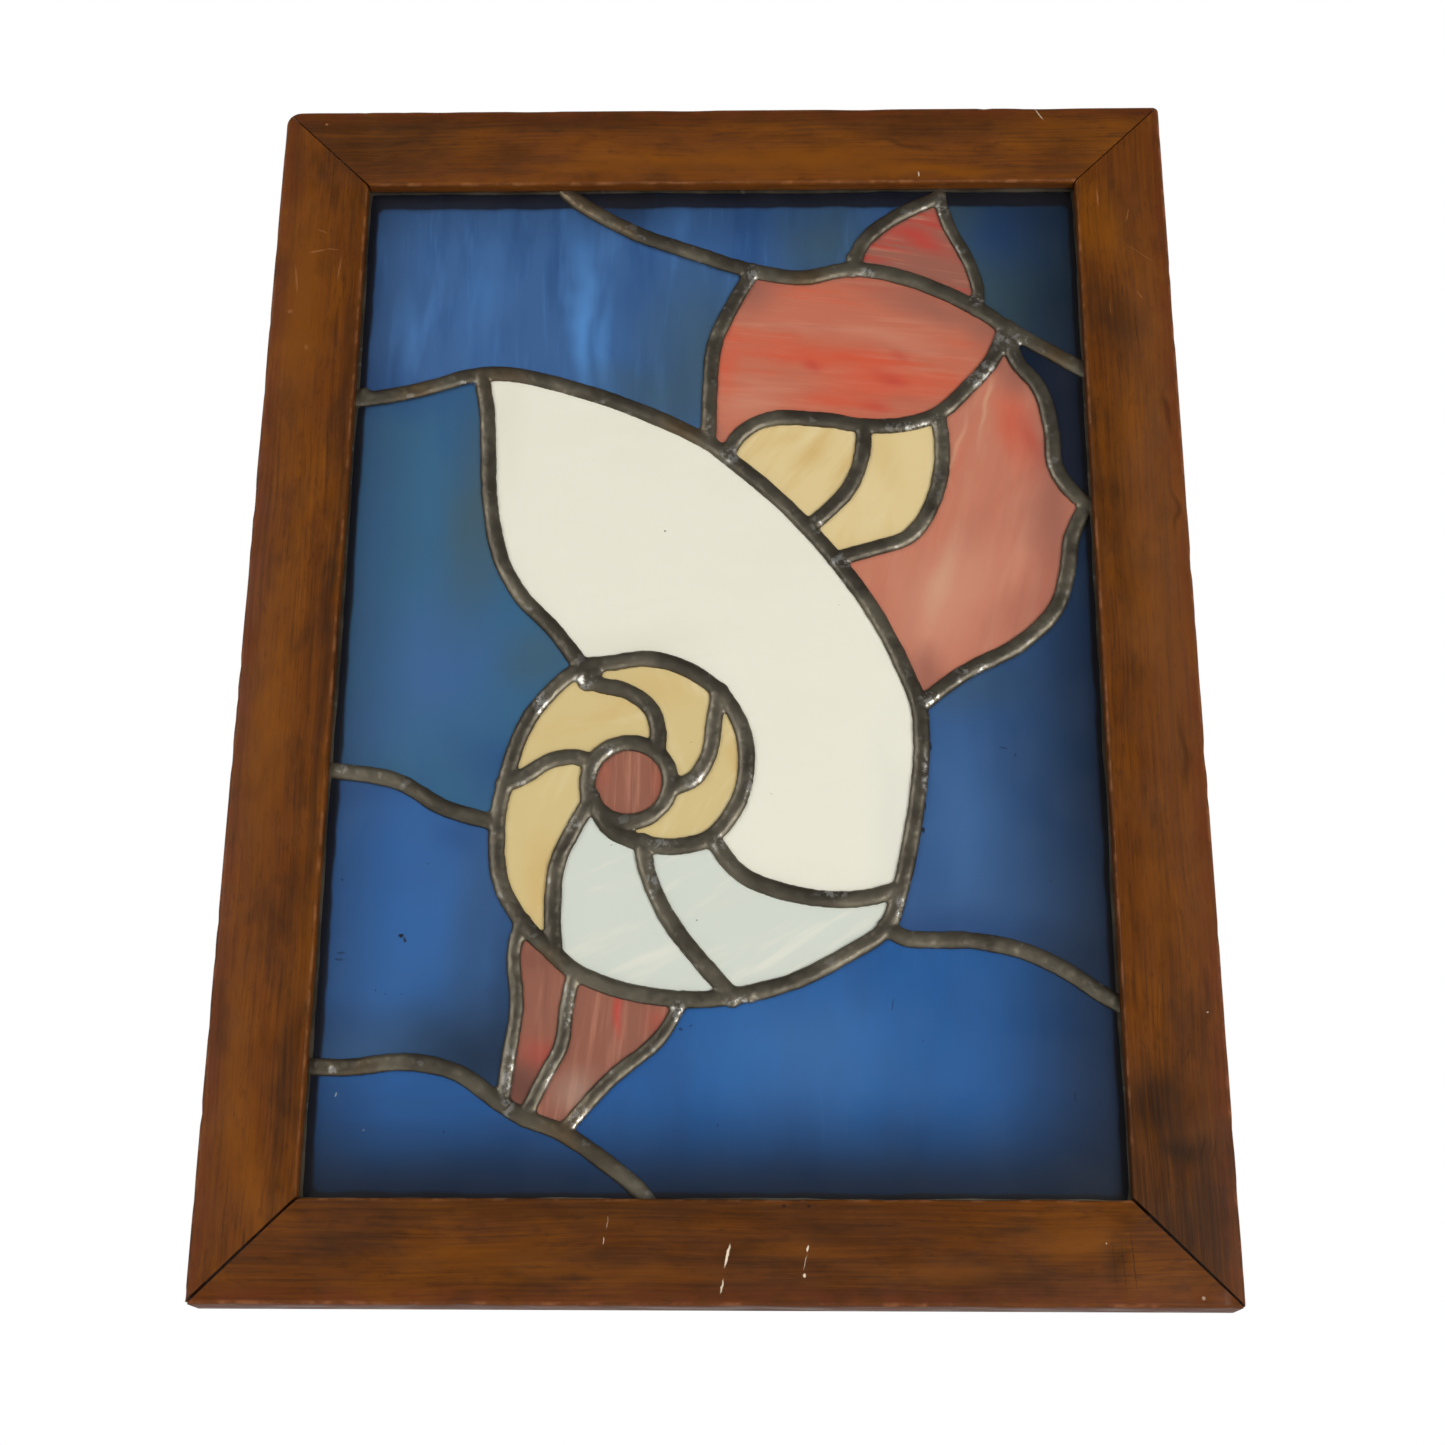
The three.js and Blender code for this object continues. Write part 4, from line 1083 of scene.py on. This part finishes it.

# Each pane: family, body colour, its streaks and its broad areas.
# A streak is a colour, the direction that it runs in, its length and width in millimetres, where
# it starts and fills out on the noise, and its strength.
# An area is a colour, its place, its reach across and up in hundredths, its turn and strength.
# Areas of slate, deep blue and dusk that lie along a seam or the frame are painted shade.
# Directions and turns are in degrees.
PANES = {
    "blue_upper_left": ("blue", "blue", [
        ("blue_deep", 90, 70, 13, 0.46, 0.68, 0.5), ("blue_pale", 88, 60, 9, 0.52, 0.74, 0.3),
        ("blue_pale", 92, 40, 3, 0.55, 0.8, 0.25),
    ], [
        ("blue_pale", (30.6, 84.5), 2, 8.5, 0, 0.8), ("blue_pale", (30.2, 92), 2.6, 7, 0, 0.36),
        ("blue_pale", (33.9, 82.5), 1.7, 8, 0, 0.5), ("blue_pale", (6.4, 83), 1.8, 7, 0, 0.35),
        ("blue_pale", (16.5, 88), 5, 9, 0, 0.22), ("blue_slate_and_shade", (47.5, 81), 10, 12, 0, 0.75),
        ("blue_slate_and_shade", (40, 77.5), 12, 3.5, -18, 0.55), ("blue_deep", (3, 78.5), 5, 4, 0, 0.6),
        ("blue_deep", (38.5, 90), 3, 6, 0, 0.3),
    ]),
    "blue_top": ("blue", "blue", [
        ("blue_deep", 90, 60, 12, 0.42, 0.66, 0.6), ("blue_pale", 90, 40, 4, 0.55, 0.76, 0.4),
    ], [
        ("blue_pale", (44.8, 96.5), 1.6, 3.6, 0, 0.3), ("blue_slate_and_shade", (64, 94.5), 9, 7, 0, 0.8),
        ("blue_deep", (54, 96), 12, 6, 0, 0.4), ("blue_dusk_and_shade", (37, 98.5), 6, 4, 0, 0.65),
    ]),
    "blue_upper_right": ("blue", "blue_slate_and_shade", [
        ("blue_deep", 90, 60, 14, 0.5, 0.7, 0.5),
    ], [
        ("blue_deep", (90, 96), 8, 7, 0, 0.8), ("blue_dusk_and_shade", (97, 85), 6, 6, 0, 0.4),
    ]),
    "blue_right_sliver": ("blue", "blue_dusk_and_shade", [
        ("speck", 90, 40, 8, 0.45, 0.7, 0.4),
    ], [
        ("wood_dark", (98.4, 74), 5, 16, 0, 0.75),
    ]),
    # Its teal body is painted light from behind the glass.
    "blue_left": ("blue", "blue_teal", [
        ("blue_deep", 90, 110, 26, 0.45, 0.7, 0.35),
    ], [
        ("blue", (13, 49), 11, 10, 0, 0.75), ("blue_slate_and_shade", (18, 66), 6, 15, -6, 0.9),
        ("blue_slate_and_shade", (26, 50), 6, 5, -45, 0.55), ("blue_deep", (6, 77), 10, 3, 4, 0.5),
        ("blue", (3, 58), 4, 22, 0, 0.35), ("blue_deep", (21, 39), 6, 5, 60, 0.6),
        ("blue", (4, 43), 6, 4, 0, 0.5),
    ]),
    "blue_lower_left": ("blue", "blue", [
        ("blue_deep", 60, 90, 30, 0.4, 0.7, 0.45), ("blue_pale", 60, 60, 20, 0.6, 0.8, 0.15),
    ], [
        ("blue_clear", (9, 24), 24, 24, 0, 0.62), ("blue_slate_and_shade", (20.5, 24), 5, 14, 0, 0.4),
        ("blue_deep", (20.5, 24), 5, 14, 0, 0.4), ("blue_slate_and_shade", (12, 12.5), 22, 5, 0, 0.4),
        ("blue_dusk_and_shade", (21, 12), 14, 7, -14, 0.8), ("blue_deep", (4, 15), 9, 3, 0, 0.35),
        ("blue_deep", (3, 37), 10, 2, 0, 0.35), ("blue_dusk_and_shade", (24, 18), 2.2, 10, 0, 0.4),
        ("blue_deep", (17, 33), 6, 3, -20, 0.5),
    ]),
    "blue_bottom_left": ("blue", "blue_clear", [
        ("blue_deep", 0, 90, 24, 0.4, 0.7, 0.5),
    ], [
        ("blue_dusk_and_shade", (14, 0), 40, 5, 0, 0.35), ("blue_deep", (24, 5), 6, 4, -30, 0.4),
    ]),
    "blue_bottom": ("blue", "blue_clear", [
        ("blue_deep", 90, 60, 22, 0.42, 0.7, 0.3), ("blue_pale", 90, 34, 3, 0.6, 0.8, 0.12),
    ], [
        ("blue_dusk_and_shade", (66, 0), 60, 4.5, 0, 0.45), ("blue_deep", (98, 9), 12, 16, 0, 0.5),
        ("blue_pale", (62, 13), 18, 7, 0, 0.3),
    ]),
    "blue_right": ("blue", "blue", [
        ("blue_deep", 90, 90, 26, 0.45, 0.7, 0.3),
    ], [
        ("blue_dusk_and_shade", (100, 38), 6, 28, 0, 0.3), ("blue_deep", (80, 24.2), 14, 2.2, 0, 0.6),
        ("blue_dusk_and_shade", (93, 21), 10, 4, -10, 0.5), ("blue_pale", (80.5, 34), 6, 9, 0, 0.2),
        ("blue_slate_and_shade", (84, 47), 10, 4, 0, 0.4),
    ]),
    "shell_body": ("white", "white", [
        ("white_shade", 0, 110, 40, 0.5, 0.8, 0.3), ("white_shade", 12, 50, 6, 0.62, 0.84, 0.25),
    ], [
        ("white_shade", (21, 74), 3, 9, 0, 0.35), ("white_shade", (40, 51), 12, 2.5, 8, 0.35),
        ("white_cool", (72, 34), 4, 12, 0, 0.3),
    ]),
    "shell_chamber_right": ("white", "white_cool", [
        ("white", 32, 46, 6, 0.5, 0.75, 0.6), ("white_shade", 20, 60, 20, 0.5, 0.8, 0.3),
    ], []),
    "shell_chamber_left": ("white", "white_cool", [
        ("white", 24, 50, 9, 0.5, 0.75, 0.5), ("white_shade", 40, 60, 20, 0.5, 0.8, 0.3),
    ], []),
    "whorl_lower_left": ("cream", "cream", [
        ("cream_pale", 70, 40, 12, 0.5, 0.75, 0.5),
    ], [
        ("cream_amber", (28.4, 27.5), 3, 6, 0, 0.55),
    ]),
    "whorl_upper_left": ("cream", "cream", [
        ("cream_amber", 20, 40, 12, 0.5, 0.75, 0.4), ("cream_pale", 0, 30, 8, 0.55, 0.75, 0.4),
    ], []),
    "whorl_upper_right": ("cream", "cream", [
        ("cream_pale", 110, 40, 9, 0.5, 0.75, 0.6),
    ], [
        ("cream_amber", (42, 47), 6, 2, -10, 0.35),
    ]),
    "whorl_lower_right": ("cream", "cream", [
        ("cream_pale", 60, 40, 8, 0.45, 0.7, 0.6),
    ], [
        ("cream_amber", (53, 37), 1.6, 7, 10, 0.55),
    ]),
    "hood_inner_left": ("cream", "cream_warm", [
        ("cream_amber", 52, 44, 8, 0.52, 0.76, 0.5), ("cream_pale", 52, 40, 12, 0.5, 0.74, 0.4),
    ], [
        ("cream_amber", (63, 70.5), 4, 1.4, 48, 0.6), ("cream_amber", (59, 72), 5, 1.1, 30, 0.35),
    ]),
    "hood_inner_right": ("cream", "cream_warm", [
        ("cream_amber", 75, 44, 9, 0.54, 0.78, 0.3), ("cream_pale", 70, 40, 12, 0.5, 0.74, 0.4),
    ], [
        ("cream_amber", (72, 70), 2.5, 4, 20, 0.3),
    ]),
    "whorl_centre": ("red", "russet", [
        ("russet_pale", 90, 46, 2.4, 0.5, 0.68, 0.75), ("russet_dark", 90, 46, 3, 0.54, 0.72, 0.4),
    ], [
        ("coral_red", (42.6, 37), 1.6, 3.4, 0, 0.15), ("russet_pale", (38.6, 38), 0.5, 3.4, 2, 0.5),
        ("coral_red", (35, 38.4), 1.2, 2.6, 0, 0.12),
    ]),
    "hood_crest": ("coral", "coral_dusk", [
        ("crest", -12, 40, 4, 0.46, 0.66, 0.7), ("coral_pink", -10, 34, 2.2, 0.52, 0.7, 0.5),
    ], [
        ("crest", (77, 94.4), 7.5, 1.8, -24, 0.85), ("crest", (80.6, 96.6), 2, 2.4, -50, 0.5),
        ("coral_dusk", (80, 90.6), 8, 1.8, -20, 0.5),
    ]),
    "hood_body": ("coral", "coral", [
        ("coral_red", -7, 46, 6, 0.46, 0.76, 0.5), ("coral_pink", -5, 56, 4.4, 0.46, 0.76, 0.5),
        ("coral_dusk", -8, 60, 8, 0.5, 0.8, 0.4), ("coral_pink", -6, 22, 1.1, 0.54, 0.78, 0.28),
    ], [
        ("coral_red", (72, 78.6), 12, 2.4, -7, 0.6), ("coral_red", (62, 81.4), 12, 1.5, -6, 0.55),
        ("crest", (62.4, 80.4), 2.4, 0.8, -10, 0.6), ("crest", (73.5, 78.6), 3.2, 0.9, -14, 0.6),
        ("crest", (71, 75.8), 2.8, 0.8, -4, 0.55), ("crest", (74.7, 80.9), 1.8, 0.6, -10, 0.4),
        ("coral_red", (66, 76.5), 9, 1.8, 4, 0.45), ("coral_dusk", (54, 88.6), 7, 3.4, 30, 0.9),
        ("coral_dusk", (80, 86.6), 14, 2.2, -18, 0.8), ("coral_pink", (54, 76), 7, 3, 20, 0.4),
        ("coral_dusk", (87, 84), 4, 3.4, 0, 0.8), ("coral_pink", (74, 83), 8, 1.4, -8, 0.4),
        ("coral_red", (50.6, 80.5), 2.4, 4, 0, 0.4), ("coral_dusk", (50, 73), 2.4, 2.2, 0, 0.5),
    ]),
    "hood_side": ("coral", "coral_peach", [
        ("coral_pink", 76, 60, 9, 0.44, 0.74, 0.6), ("coral_red", 74, 46, 9, 0.54, 0.8, 0.3),
        ("coral_pink", 72, 34, 2.2, 0.54, 0.76, 0.35), ("coral_dusk", 76, 60, 14, 0.46, 0.76, 0.4),
    ], [
        ("coral_red", (90.6, 73.5), 3.4, 6.5, 8, 0.5), ("coral_dusk", (95, 66), 4.6, 16, 0, 0.85),
        ("coral_pink", (80, 55.5), 7, 9, -30, 0.9), ("coral_dusk", (77, 47.8), 4, 4, 20, 0.8),
        ("cream_pale", (86.6, 76), 0.45, 4.5, -15, 0.24), ("coral_dusk", (91, 80), 4, 4.4, 0, 0.95),
        ("cream_pale", (82.4, 71), 0.4, 4.5, -13, 0.2), ("cream_pale", (80, 58), 1.6, 6, -16, 0.16),
        ("crest", (92.4, 72.4), 1.4, 4, 10, 0.4), ("coral_dusk", (92, 54), 7, 3.5, 30, 0.45),
    ]),
    "tail_left": ("red", "russet", [
        ("russet_pale", 86, 40, 5, 0.5, 0.72, 0.4), ("russet_dark", 90, 40, 6, 0.55, 0.75, 0.3),
    ], [
        ("crest", (28, 12.9), 4, 1.8, 0, 0.45), ("russet_dark", (26.6, 10), 4, 3, 0, 0.8),
        ("russet_dark", (27.6, 21), 3, 2, 0, 0.35),
    ]),
    "tail_right": ("coral", "russet", [
        ("coral_pink", 84, 44, 2.6, 0.46, 0.7, 0.36), ("coral_dusk", 84, 50, 5, 0.5, 0.75, 0.4),
    ], [
        ("crest", (38.4, 16.8), 0.8, 3, -4, 0.75), ("crest", (43, 15.4), 2, 1.6, 0, 0.3),
        ("white_shade", (33, 9.6), 4, 3, 30, 0.16),
    ]),
}

# Flaws in each pane: colour, place, reach across and up in millimetres, turn, strength
FLAWS = {
    "blue_lower_left": [
        ("speck", (10.4, 23.2), 1.5, 0.9, 10, 1.0), ("speck", (10.9, 22.8), 0.6, 1.2, 20, 0.9),
        ("speck", (2.5, 28.3), 0.6, 0.6, 0, 0.9), ("speck", (13.3, 29.8), 0.9, 0.4, 0, 0.5),
        ("blue_dusk_and_shade", (3, 21.6), 2.2, 0.5, 10, 0.6), ("blue_dusk_and_shade", (2.8, 21), 2.4, 0.5, 0, 0.6),
        ("speck", (7.6, 18.2), 0.5, 0.5, 0, 0.7), ("speck", (8.8, 17.9), 0.4, 0.4, 0, 0.7),
        ("speck", (10.9, 17.9), 0.5, 0.4, 0, 0.6),
    ],
    "blue_bottom_left": [
        ("white_cool", (3.5, 9), 0.5, 1.0, -20, 0.7), ("white_cool", (7.2, 6), 0.4, 0.4, 0, 0.5),
        ("blue_dusk_and_shade", (17, 5.8), 0.3, 0.9, 0, 0.6),
    ],
    "blue_bottom": [
        ("blue_dusk_and_shade", (45.8, 14.8), 0.9, 0.9, 0, 0.7), ("blue_dusk_and_shade", (47, 15.1), 0.6, 0.5, 0, 0.6),
        ("blue_dusk_and_shade", (72, 17), 0.3, 3.2, -10, 0.5), ("speck", (75.6, 13.8), 0.4, 0.4, 0, 0.7),
        ("speck", (50.4, 6.4), 0.25, 0.9, 0, 0.6), ("speck", (94, 9), 0.3, 2.6, -4, 0.7),
        ("speck", (97, 8.4), 0.3, 1.8, -4, 0.7),
    ],
    "blue_right": [
        ("speck", (77.5, 41), 1.0, 2.4, 4, 0.9), ("speck", (76.6, 35.5), 0.7, 3.0, 8, 0.9),
        ("speck", (76.3, 33), 0.9, 1.4, 0, 0.9), ("blue_dusk_and_shade", (87, 40.8), 2.0, 0.35, -8, 0.7),
        ("blue_dusk_and_shade", (88.5, 40.1), 0.4, 0.9, 0, 0.7), ("speck", (92.2, 28.2), 0.4, 0.4, 0, 0.7),
    ],
    "blue_upper_left": [
        ("blue_dusk_and_shade", (22.6, 97.2), 0.5, 0.3, 0, 0.6),
    ],
    "shell_body": [
        ("wood_dark", (42.8, 62.6), 0.35, 0.35, 0, 0.8),
        ("wood_dark", (57, 36.4), 0.35, 0.35, 0, 0.5), ("wood_dark", (66, 55), 0.25, 0.25, 0, 0.4),
        ("wood_dark", (33, 70), 0.25, 0.25, 0, 0.35),
    ],
    "shell_chamber_left": [
        ("wood_dark", (36.6, 31.6), 0.4, 0.3, 0, 0.5),
    ],
    "shell_chamber_right": [
        ("wood_dark", (47.6, 24.6), 0.4, 0.4, 0, 0.6),
    ],
    "whorl_upper_right": [
        ("wood_dark", (46.6, 41.4), 0.3, 0.3, 0, 0.5),
    ],
}

# The room's shade on the water glass beside each rail: axis, the rail's edge, how far the shade
# reaches in millimetres, and its strength
SHADES = [
    ("Z", BOTTOM, 46, 0.92),
    ("X", RIGHT, 60, 0.86),
    ("X", LEFT, 34, 0.45),
    ("Z", TOP, 34, 0.38),
]

# How far the dark bed behind the glass shows inside the opening, the radius of its corners and
# how far its edge wobbles, in millimetres. This rim is painted into the glass's colour: partly
# the putty bed seen through the glass, partly painted shade where the frame's lip keeps the light
# from behind off it, widest at the top as the camera below sees it.
RIM_LEFT, RIM_RIGHT, RIM_BOTTOM, RIM_TOP = 4.1, 2.9, 3.0, 7.9
RIM_ROUND = 3.0
RIM_WOBBLE = 1.1

# How much further than its reach an area of colour fades out
FADE = 1.25


def glass_finish(colours, name):
    """One pane's glass: body colour, streaks, broad areas, flaws, painted shade beside the rails on
    the water glass, and the dark rim by the frame, which is partly painted shade.
    """
    family, body, streaks, areas = PANES[name]
    f = Finish("glass_" + name, Transmission_Weight=FAMILIES[family][1], IOR=1.5,
               Specular_IOR_Level=0.15, Coat_Weight=0.25, Coat_Roughness=0.08)
    pane_shift = 0.37 * (1 + sorted(PANES).index(name))
    shade = getattr(colours, body)
    for i, (tone, turn, run, width, low, high, strength) in enumerate(streaks):
        middle = (pane_shift + i, pane_shift / 2, -pane_shift)
        laid = f.local(f.place, middle, (0, -math.radians(turn), 0), (run * MM, 0.1, width * MM))
        mask = f.span(f.cloud(laid, 1.0, 3, 0.58), low, high, 0.0, strength)
        shade = f.mix(mask, shade, getattr(colours, tone))
    loose = f.wander(0.014, 40)
    across, upward = (RIGHT - LEFT) / 100, (TOP - BOTTOM) / 100
    for tone, spot, wide, tall, turn, strength in areas:
        mask = f.spot(loose, place(*spot), wide * across * FADE, tall * upward * FADE, turn)
        shade = f.mix(f.times(mask, strength), shade, getattr(colours, tone))
    flaws = FLAWS.get(name, [])
    ragged = f.wander(0.0010, 900) if flaws else None
    for tone, spot, wide, tall, turn, strength in flaws:
        mask = f.spot(ragged, place(*spot), wide * MM, tall * MM, turn, core=0.6)
        shade = f.mix(f.times(mask, strength), shade, getattr(colours, tone))
    low = place(0, 0) + Vector((RIM_LEFT, 0, RIM_BOTTOM)) * MM
    high = place(100, 100) - Vector((RIM_RIGHT, 0, RIM_TOP)) * MM
    distance = edge_distance(f, low, high, RIM_ROUND * MM, RIM_WOBBLE * MM)
    # Painted shade on the water glass beside each rail.
    if family == "blue":
        for axis, edge, reach, strength in SHADES:
            inward = math.copysign(reach * MM, MIDDLE["XYZ".index(axis)] - edge)
            veil = f.span(f.axis(axis), edge + inward, edge, 0.0, strength)
            shade = f.mix(veil, shade, colours.blue_dusk_and_shade)
    # The dark rim along the frame: the putty bed seen through the glass and painted shade from the
    # frame.
    shade = f.mix(f.span(distance, -0.0007, 0.0007, 0.0, 0.93), shade, colours.rim)
    f.feed(f.shader.inputs["Base Color"], shade)
    f.feed(f.shader.inputs["Roughness"], f.span(f.cloud(f.place, 50, 1), 0.3, 0.7, 0.42, 0.52))
    ripple = f.bump(f.cloud(f.place, 45, 1), 0.0010, 0.16)
    seeds = f.bump(f.span(f.cloud(f.place, 480, 0), 0.68, 0.8), 0.00006, 0.4, ripple)
    f.feed(f.shader.inputs["Normal"], ripple)
    f.feed(f.shader.inputs["Coat Normal"], seeds)
    return f.material


# Stage

# The camera's spot in metres and its angles in degrees
CAMERA_SPOT = (0.0195, -0.8276, -0.5607)
CAMERA_PITCH, CAMERA_YAW, CAMERA_ROLL = 19.98, -1.22, 0.35
SENSOR_WIDTH = 36.0

# Half the floor's width in metres, and how dull its duller clouds are
FLOOR_HALF = 9.0
FLOOR_DULL = 0.96

# Lamps: name, spot, side in metres, power in watts
LAMPS = [
    ("key_lamp", (1.2, -1.5, -0.8), 1.0, 27),
    ("fill_lamp", (-1.35, -1.4, 0.3), 1.1, 16),
    ("back_lamp", (-0.5, 1.7, 0.6), 1.4, 16),
]


def camera_matrix():
    """Where the photograph was taken from: below the middle, looking up."""
    pitch, yaw, roll = (math.radians(a) for a in (CAMERA_PITCH, CAMERA_YAW, CAMERA_ROLL))
    forward = Vector((
        math.sin(yaw) * math.cos(pitch), math.cos(yaw) * math.cos(pitch), math.sin(pitch)
    ))
    level = Vector((math.cos(yaw), -math.sin(yaw), 0))
    upright = level.cross(forward)
    right = level * math.cos(roll) + upright * math.sin(roll)
    up = upright * math.cos(roll) - level * math.sin(roll)
    turn = Matrix((right, up, -forward)).transposed()
    return Matrix.Translation(CAMERA_SPOT) @ turn.to_4x4()


class WINDOW_OT_frame(bpy.types.Operator):
    """Build the four mitred rails with worn edges and stained wood"""

    bl_idname = "window.frame"
    bl_label = "Wooden frame"

    def execute(self, context):
        sizes, colours = context.scene.window_sizes, context.scene.window_colours
        for i, (name, (turn, ends)) in enumerate(RAILS.items()):
            bm = build_rail(sizes, name, turn, ends)
            finish = wood_finish(colours, name, turn % 180 != 0, 0.61 * (i + 1))
            new_piece("wood_" + name, bm, finish, "stained_wood", name)
        return {"FINISHED"}


class WINDOW_OT_solder(bpy.types.Operator):
    """Build the solder beads of both faces and the panel's foiled edge"""

    bl_idname = "window.solder"
    bl_label = "Solder seams"

    def execute(self, context):
        sizes, colours = context.scene.window_sizes, context.scene.window_colours
        finish = solder_finish(colours)
        front = solder_beads(sizes, sizes.bead_crown, sizes.front_voxel, -1, GLASS_FRONT)
        note_wear_and_glints(new_piece("solder_front", front, finish, "patinated_solder", "solder_lattice"))
        back = solder_beads(sizes, sizes.back_crown, sizes.back_voxel, 1, GLASS_BACK)
        new_piece("solder_back", back, finish, "patinated_solder", "solder_lattice")
        edge = panel_edge()
        new_piece("panel_edge", edge, finish, "patinated_solder", "solder_lattice")
        return {"FINISHED"}


class WINDOW_OT_putty(bpy.types.Operator):
    """Build the bed of putty behind the panel"""

    bl_idname = "window.putty"
    bl_label = "Glazing putty"

    def execute(self, context):
        sizes, colours = context.scene.window_sizes, context.scene.window_colours
        finish = putty_finish(colours)
        new_piece("putty_bed", putty_bed(sizes), finish, "dark_putty", "glazing_putty")
        return {"FINISHED"}


class WINDOW_OT_glass(bpy.types.Operator):
    """Give every pane its own streaky glass"""

    bl_idname = "window.glass"
    bl_label = "Panes of glass"

    def execute(self, context):
        for name, (family, *_) in PANES.items():
            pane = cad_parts["glass_" + name]
            dress(pane, glass_finish(context.scene.window_colours, name))
        return {"FINISHED"}


class WINDOW_OT_stage(bpy.types.Operator):
    """Set up the pale floor, the soft light and the camera"""

    bl_idname = "window.stage"
    bl_label = "Floor, light and camera"

    def execute(self, context):
        scene = context.scene
        sizes, colours = scene.window_sizes, scene.window_colours
        bm = bmesh.new()
        floor_level = CAD_BOX[0].z - sizes.floor_drop
        bmesh.ops.create_grid(
            bm, x_segments=4, y_segments=4, size=FLOOR_HALF,
            matrix=Matrix.Translation((0, 0, floor_level))
        )
        mesh = bpy.data.meshes.new("floor")
        bm.to_mesh(mesh)
        bm.free()
        floor = bpy.data.objects.new("floor", mesh)
        scene.collection.objects.link(floor)
        paint = Finish("pale_floor", Roughness=0.8)
        cloudy = paint.cloud(paint.place, 3.0, 3)
        dull = tuple(FLOOR_DULL * part for part in colours.floor)
        paint.feed(paint.shader.inputs["Base Color"], paint.mix(cloudy, colours.floor, dull))
        dress(floor, paint.material)
        for name, spot, side, power in LAMPS:
            lamp = bpy.data.lights.new(name, "AREA")
            lamp.size = side
            lamp.energy = power
            holder = bpy.data.objects.new(name, lamp)
            holder.visible_camera = False
            look = (Vector((MIDDLE.x, 0, MIDDLE.z)) - Vector(spot)).to_track_quat("-Z", "Y")
            holder.matrix_world = Matrix.Translation(spot) @ look.to_matrix().to_4x4()
            scene.collection.objects.link(holder)
        camera = bpy.data.objects.new("camera", bpy.data.cameras.new("camera"))
        camera.data.lens = sizes.lens
        camera.data.sensor_width = SENSOR_WIDTH
        camera.data.clip_start = 0.01
        camera.matrix_world = camera_matrix()
        scene.collection.objects.link(camera)
        scene.camera = camera
        scene.view_settings.view_transform = "Standard"
        self.light_the_room(scene)
        return {"FINISHED"}

    def light_the_room(self, scene):
        """Surroundings that light the window more from behind, and that the camera sees white."""
        world = bpy.data.worlds.new("room")
        world.use_nodes = True
        scene.world = world
        nodes, links = world.node_tree.nodes, world.node_tree.links
        direction = nodes.new("ShaderNodeTexCoord").outputs["Generated"]
        parts = nodes.new("ShaderNodeSeparateXYZ")
        links.new(direction, parts.inputs[0])
        brightness = nodes.new("ShaderNodeMapRange")
        brightness.interpolation_type = "SMOOTHSTEP"
        for index, value in zip((1, 2, 3, 4), (-0.3, 0.5, 0.12, 1.0)):
            brightness.inputs[index].default_value = value
        links.new(parts.outputs[1], brightness.inputs[0])
        seen = nodes.new("ShaderNodeLightPath").outputs["Is Camera Ray"]
        strength = nodes.new("ShaderNodeMath")
        strength.operation = "MAXIMUM"
        links.new(brightness.outputs[0], strength.inputs[0])
        links.new(seen, strength.inputs[1])
        background = nodes["Background"]
        background.inputs["Color"].default_value = (1.0, 1.0, 1.0, 1.0)
        links.new(strength.outputs[0], background.inputs["Strength"])


class WINDOW_PT_panel(bpy.types.Panel):
    """Lists the steps that dress the window, with its sizes and colours."""

    bl_label = "Stained Glass Window"
    bl_idname = "WINDOW_PT_panel"
    bl_space_type = "VIEW_3D"
    bl_region_type = "UI"
    bl_category = "Window"

    def draw(self, context):
        for step in STEPS:
            self.layout.operator(step.bl_idname)
        for group in (context.scene.window_sizes, context.scene.window_colours):
            column = self.layout.column()
            for name in group.bl_rna.properties.keys():
                if name not in ("rna_type", "name"):
                    column.prop(group, name)


STEPS = (WINDOW_OT_frame, WINDOW_OT_solder, WINDOW_OT_putty, WINDOW_OT_glass, WINDOW_OT_stage)
CLASSES = (WindowSizes, WindowColours, *STEPS, WINDOW_PT_panel)


def register():
    """Makes the properties, the steps and the panel known."""
    for cls in CLASSES:
        bpy.utils.register_class(cls)
    bpy.types.Scene.window_sizes = PointerProperty(type=WindowSizes)
    bpy.types.Scene.window_colours = PointerProperty(type=WindowColours)


def unregister():
    """Takes all of them away again."""
    del bpy.types.Scene.window_colours
    del bpy.types.Scene.window_sizes
    for cls in reversed(CLASSES):
        bpy.utils.unregister_class(cls)


def main():
    """Dresses the window."""
    register()
    bpy.ops.window.frame()
    bpy.ops.window.solder()
    bpy.ops.window.putty()
    bpy.ops.window.glass()
    bpy.ops.window.stage()


if __name__ == "__main__":
    main()
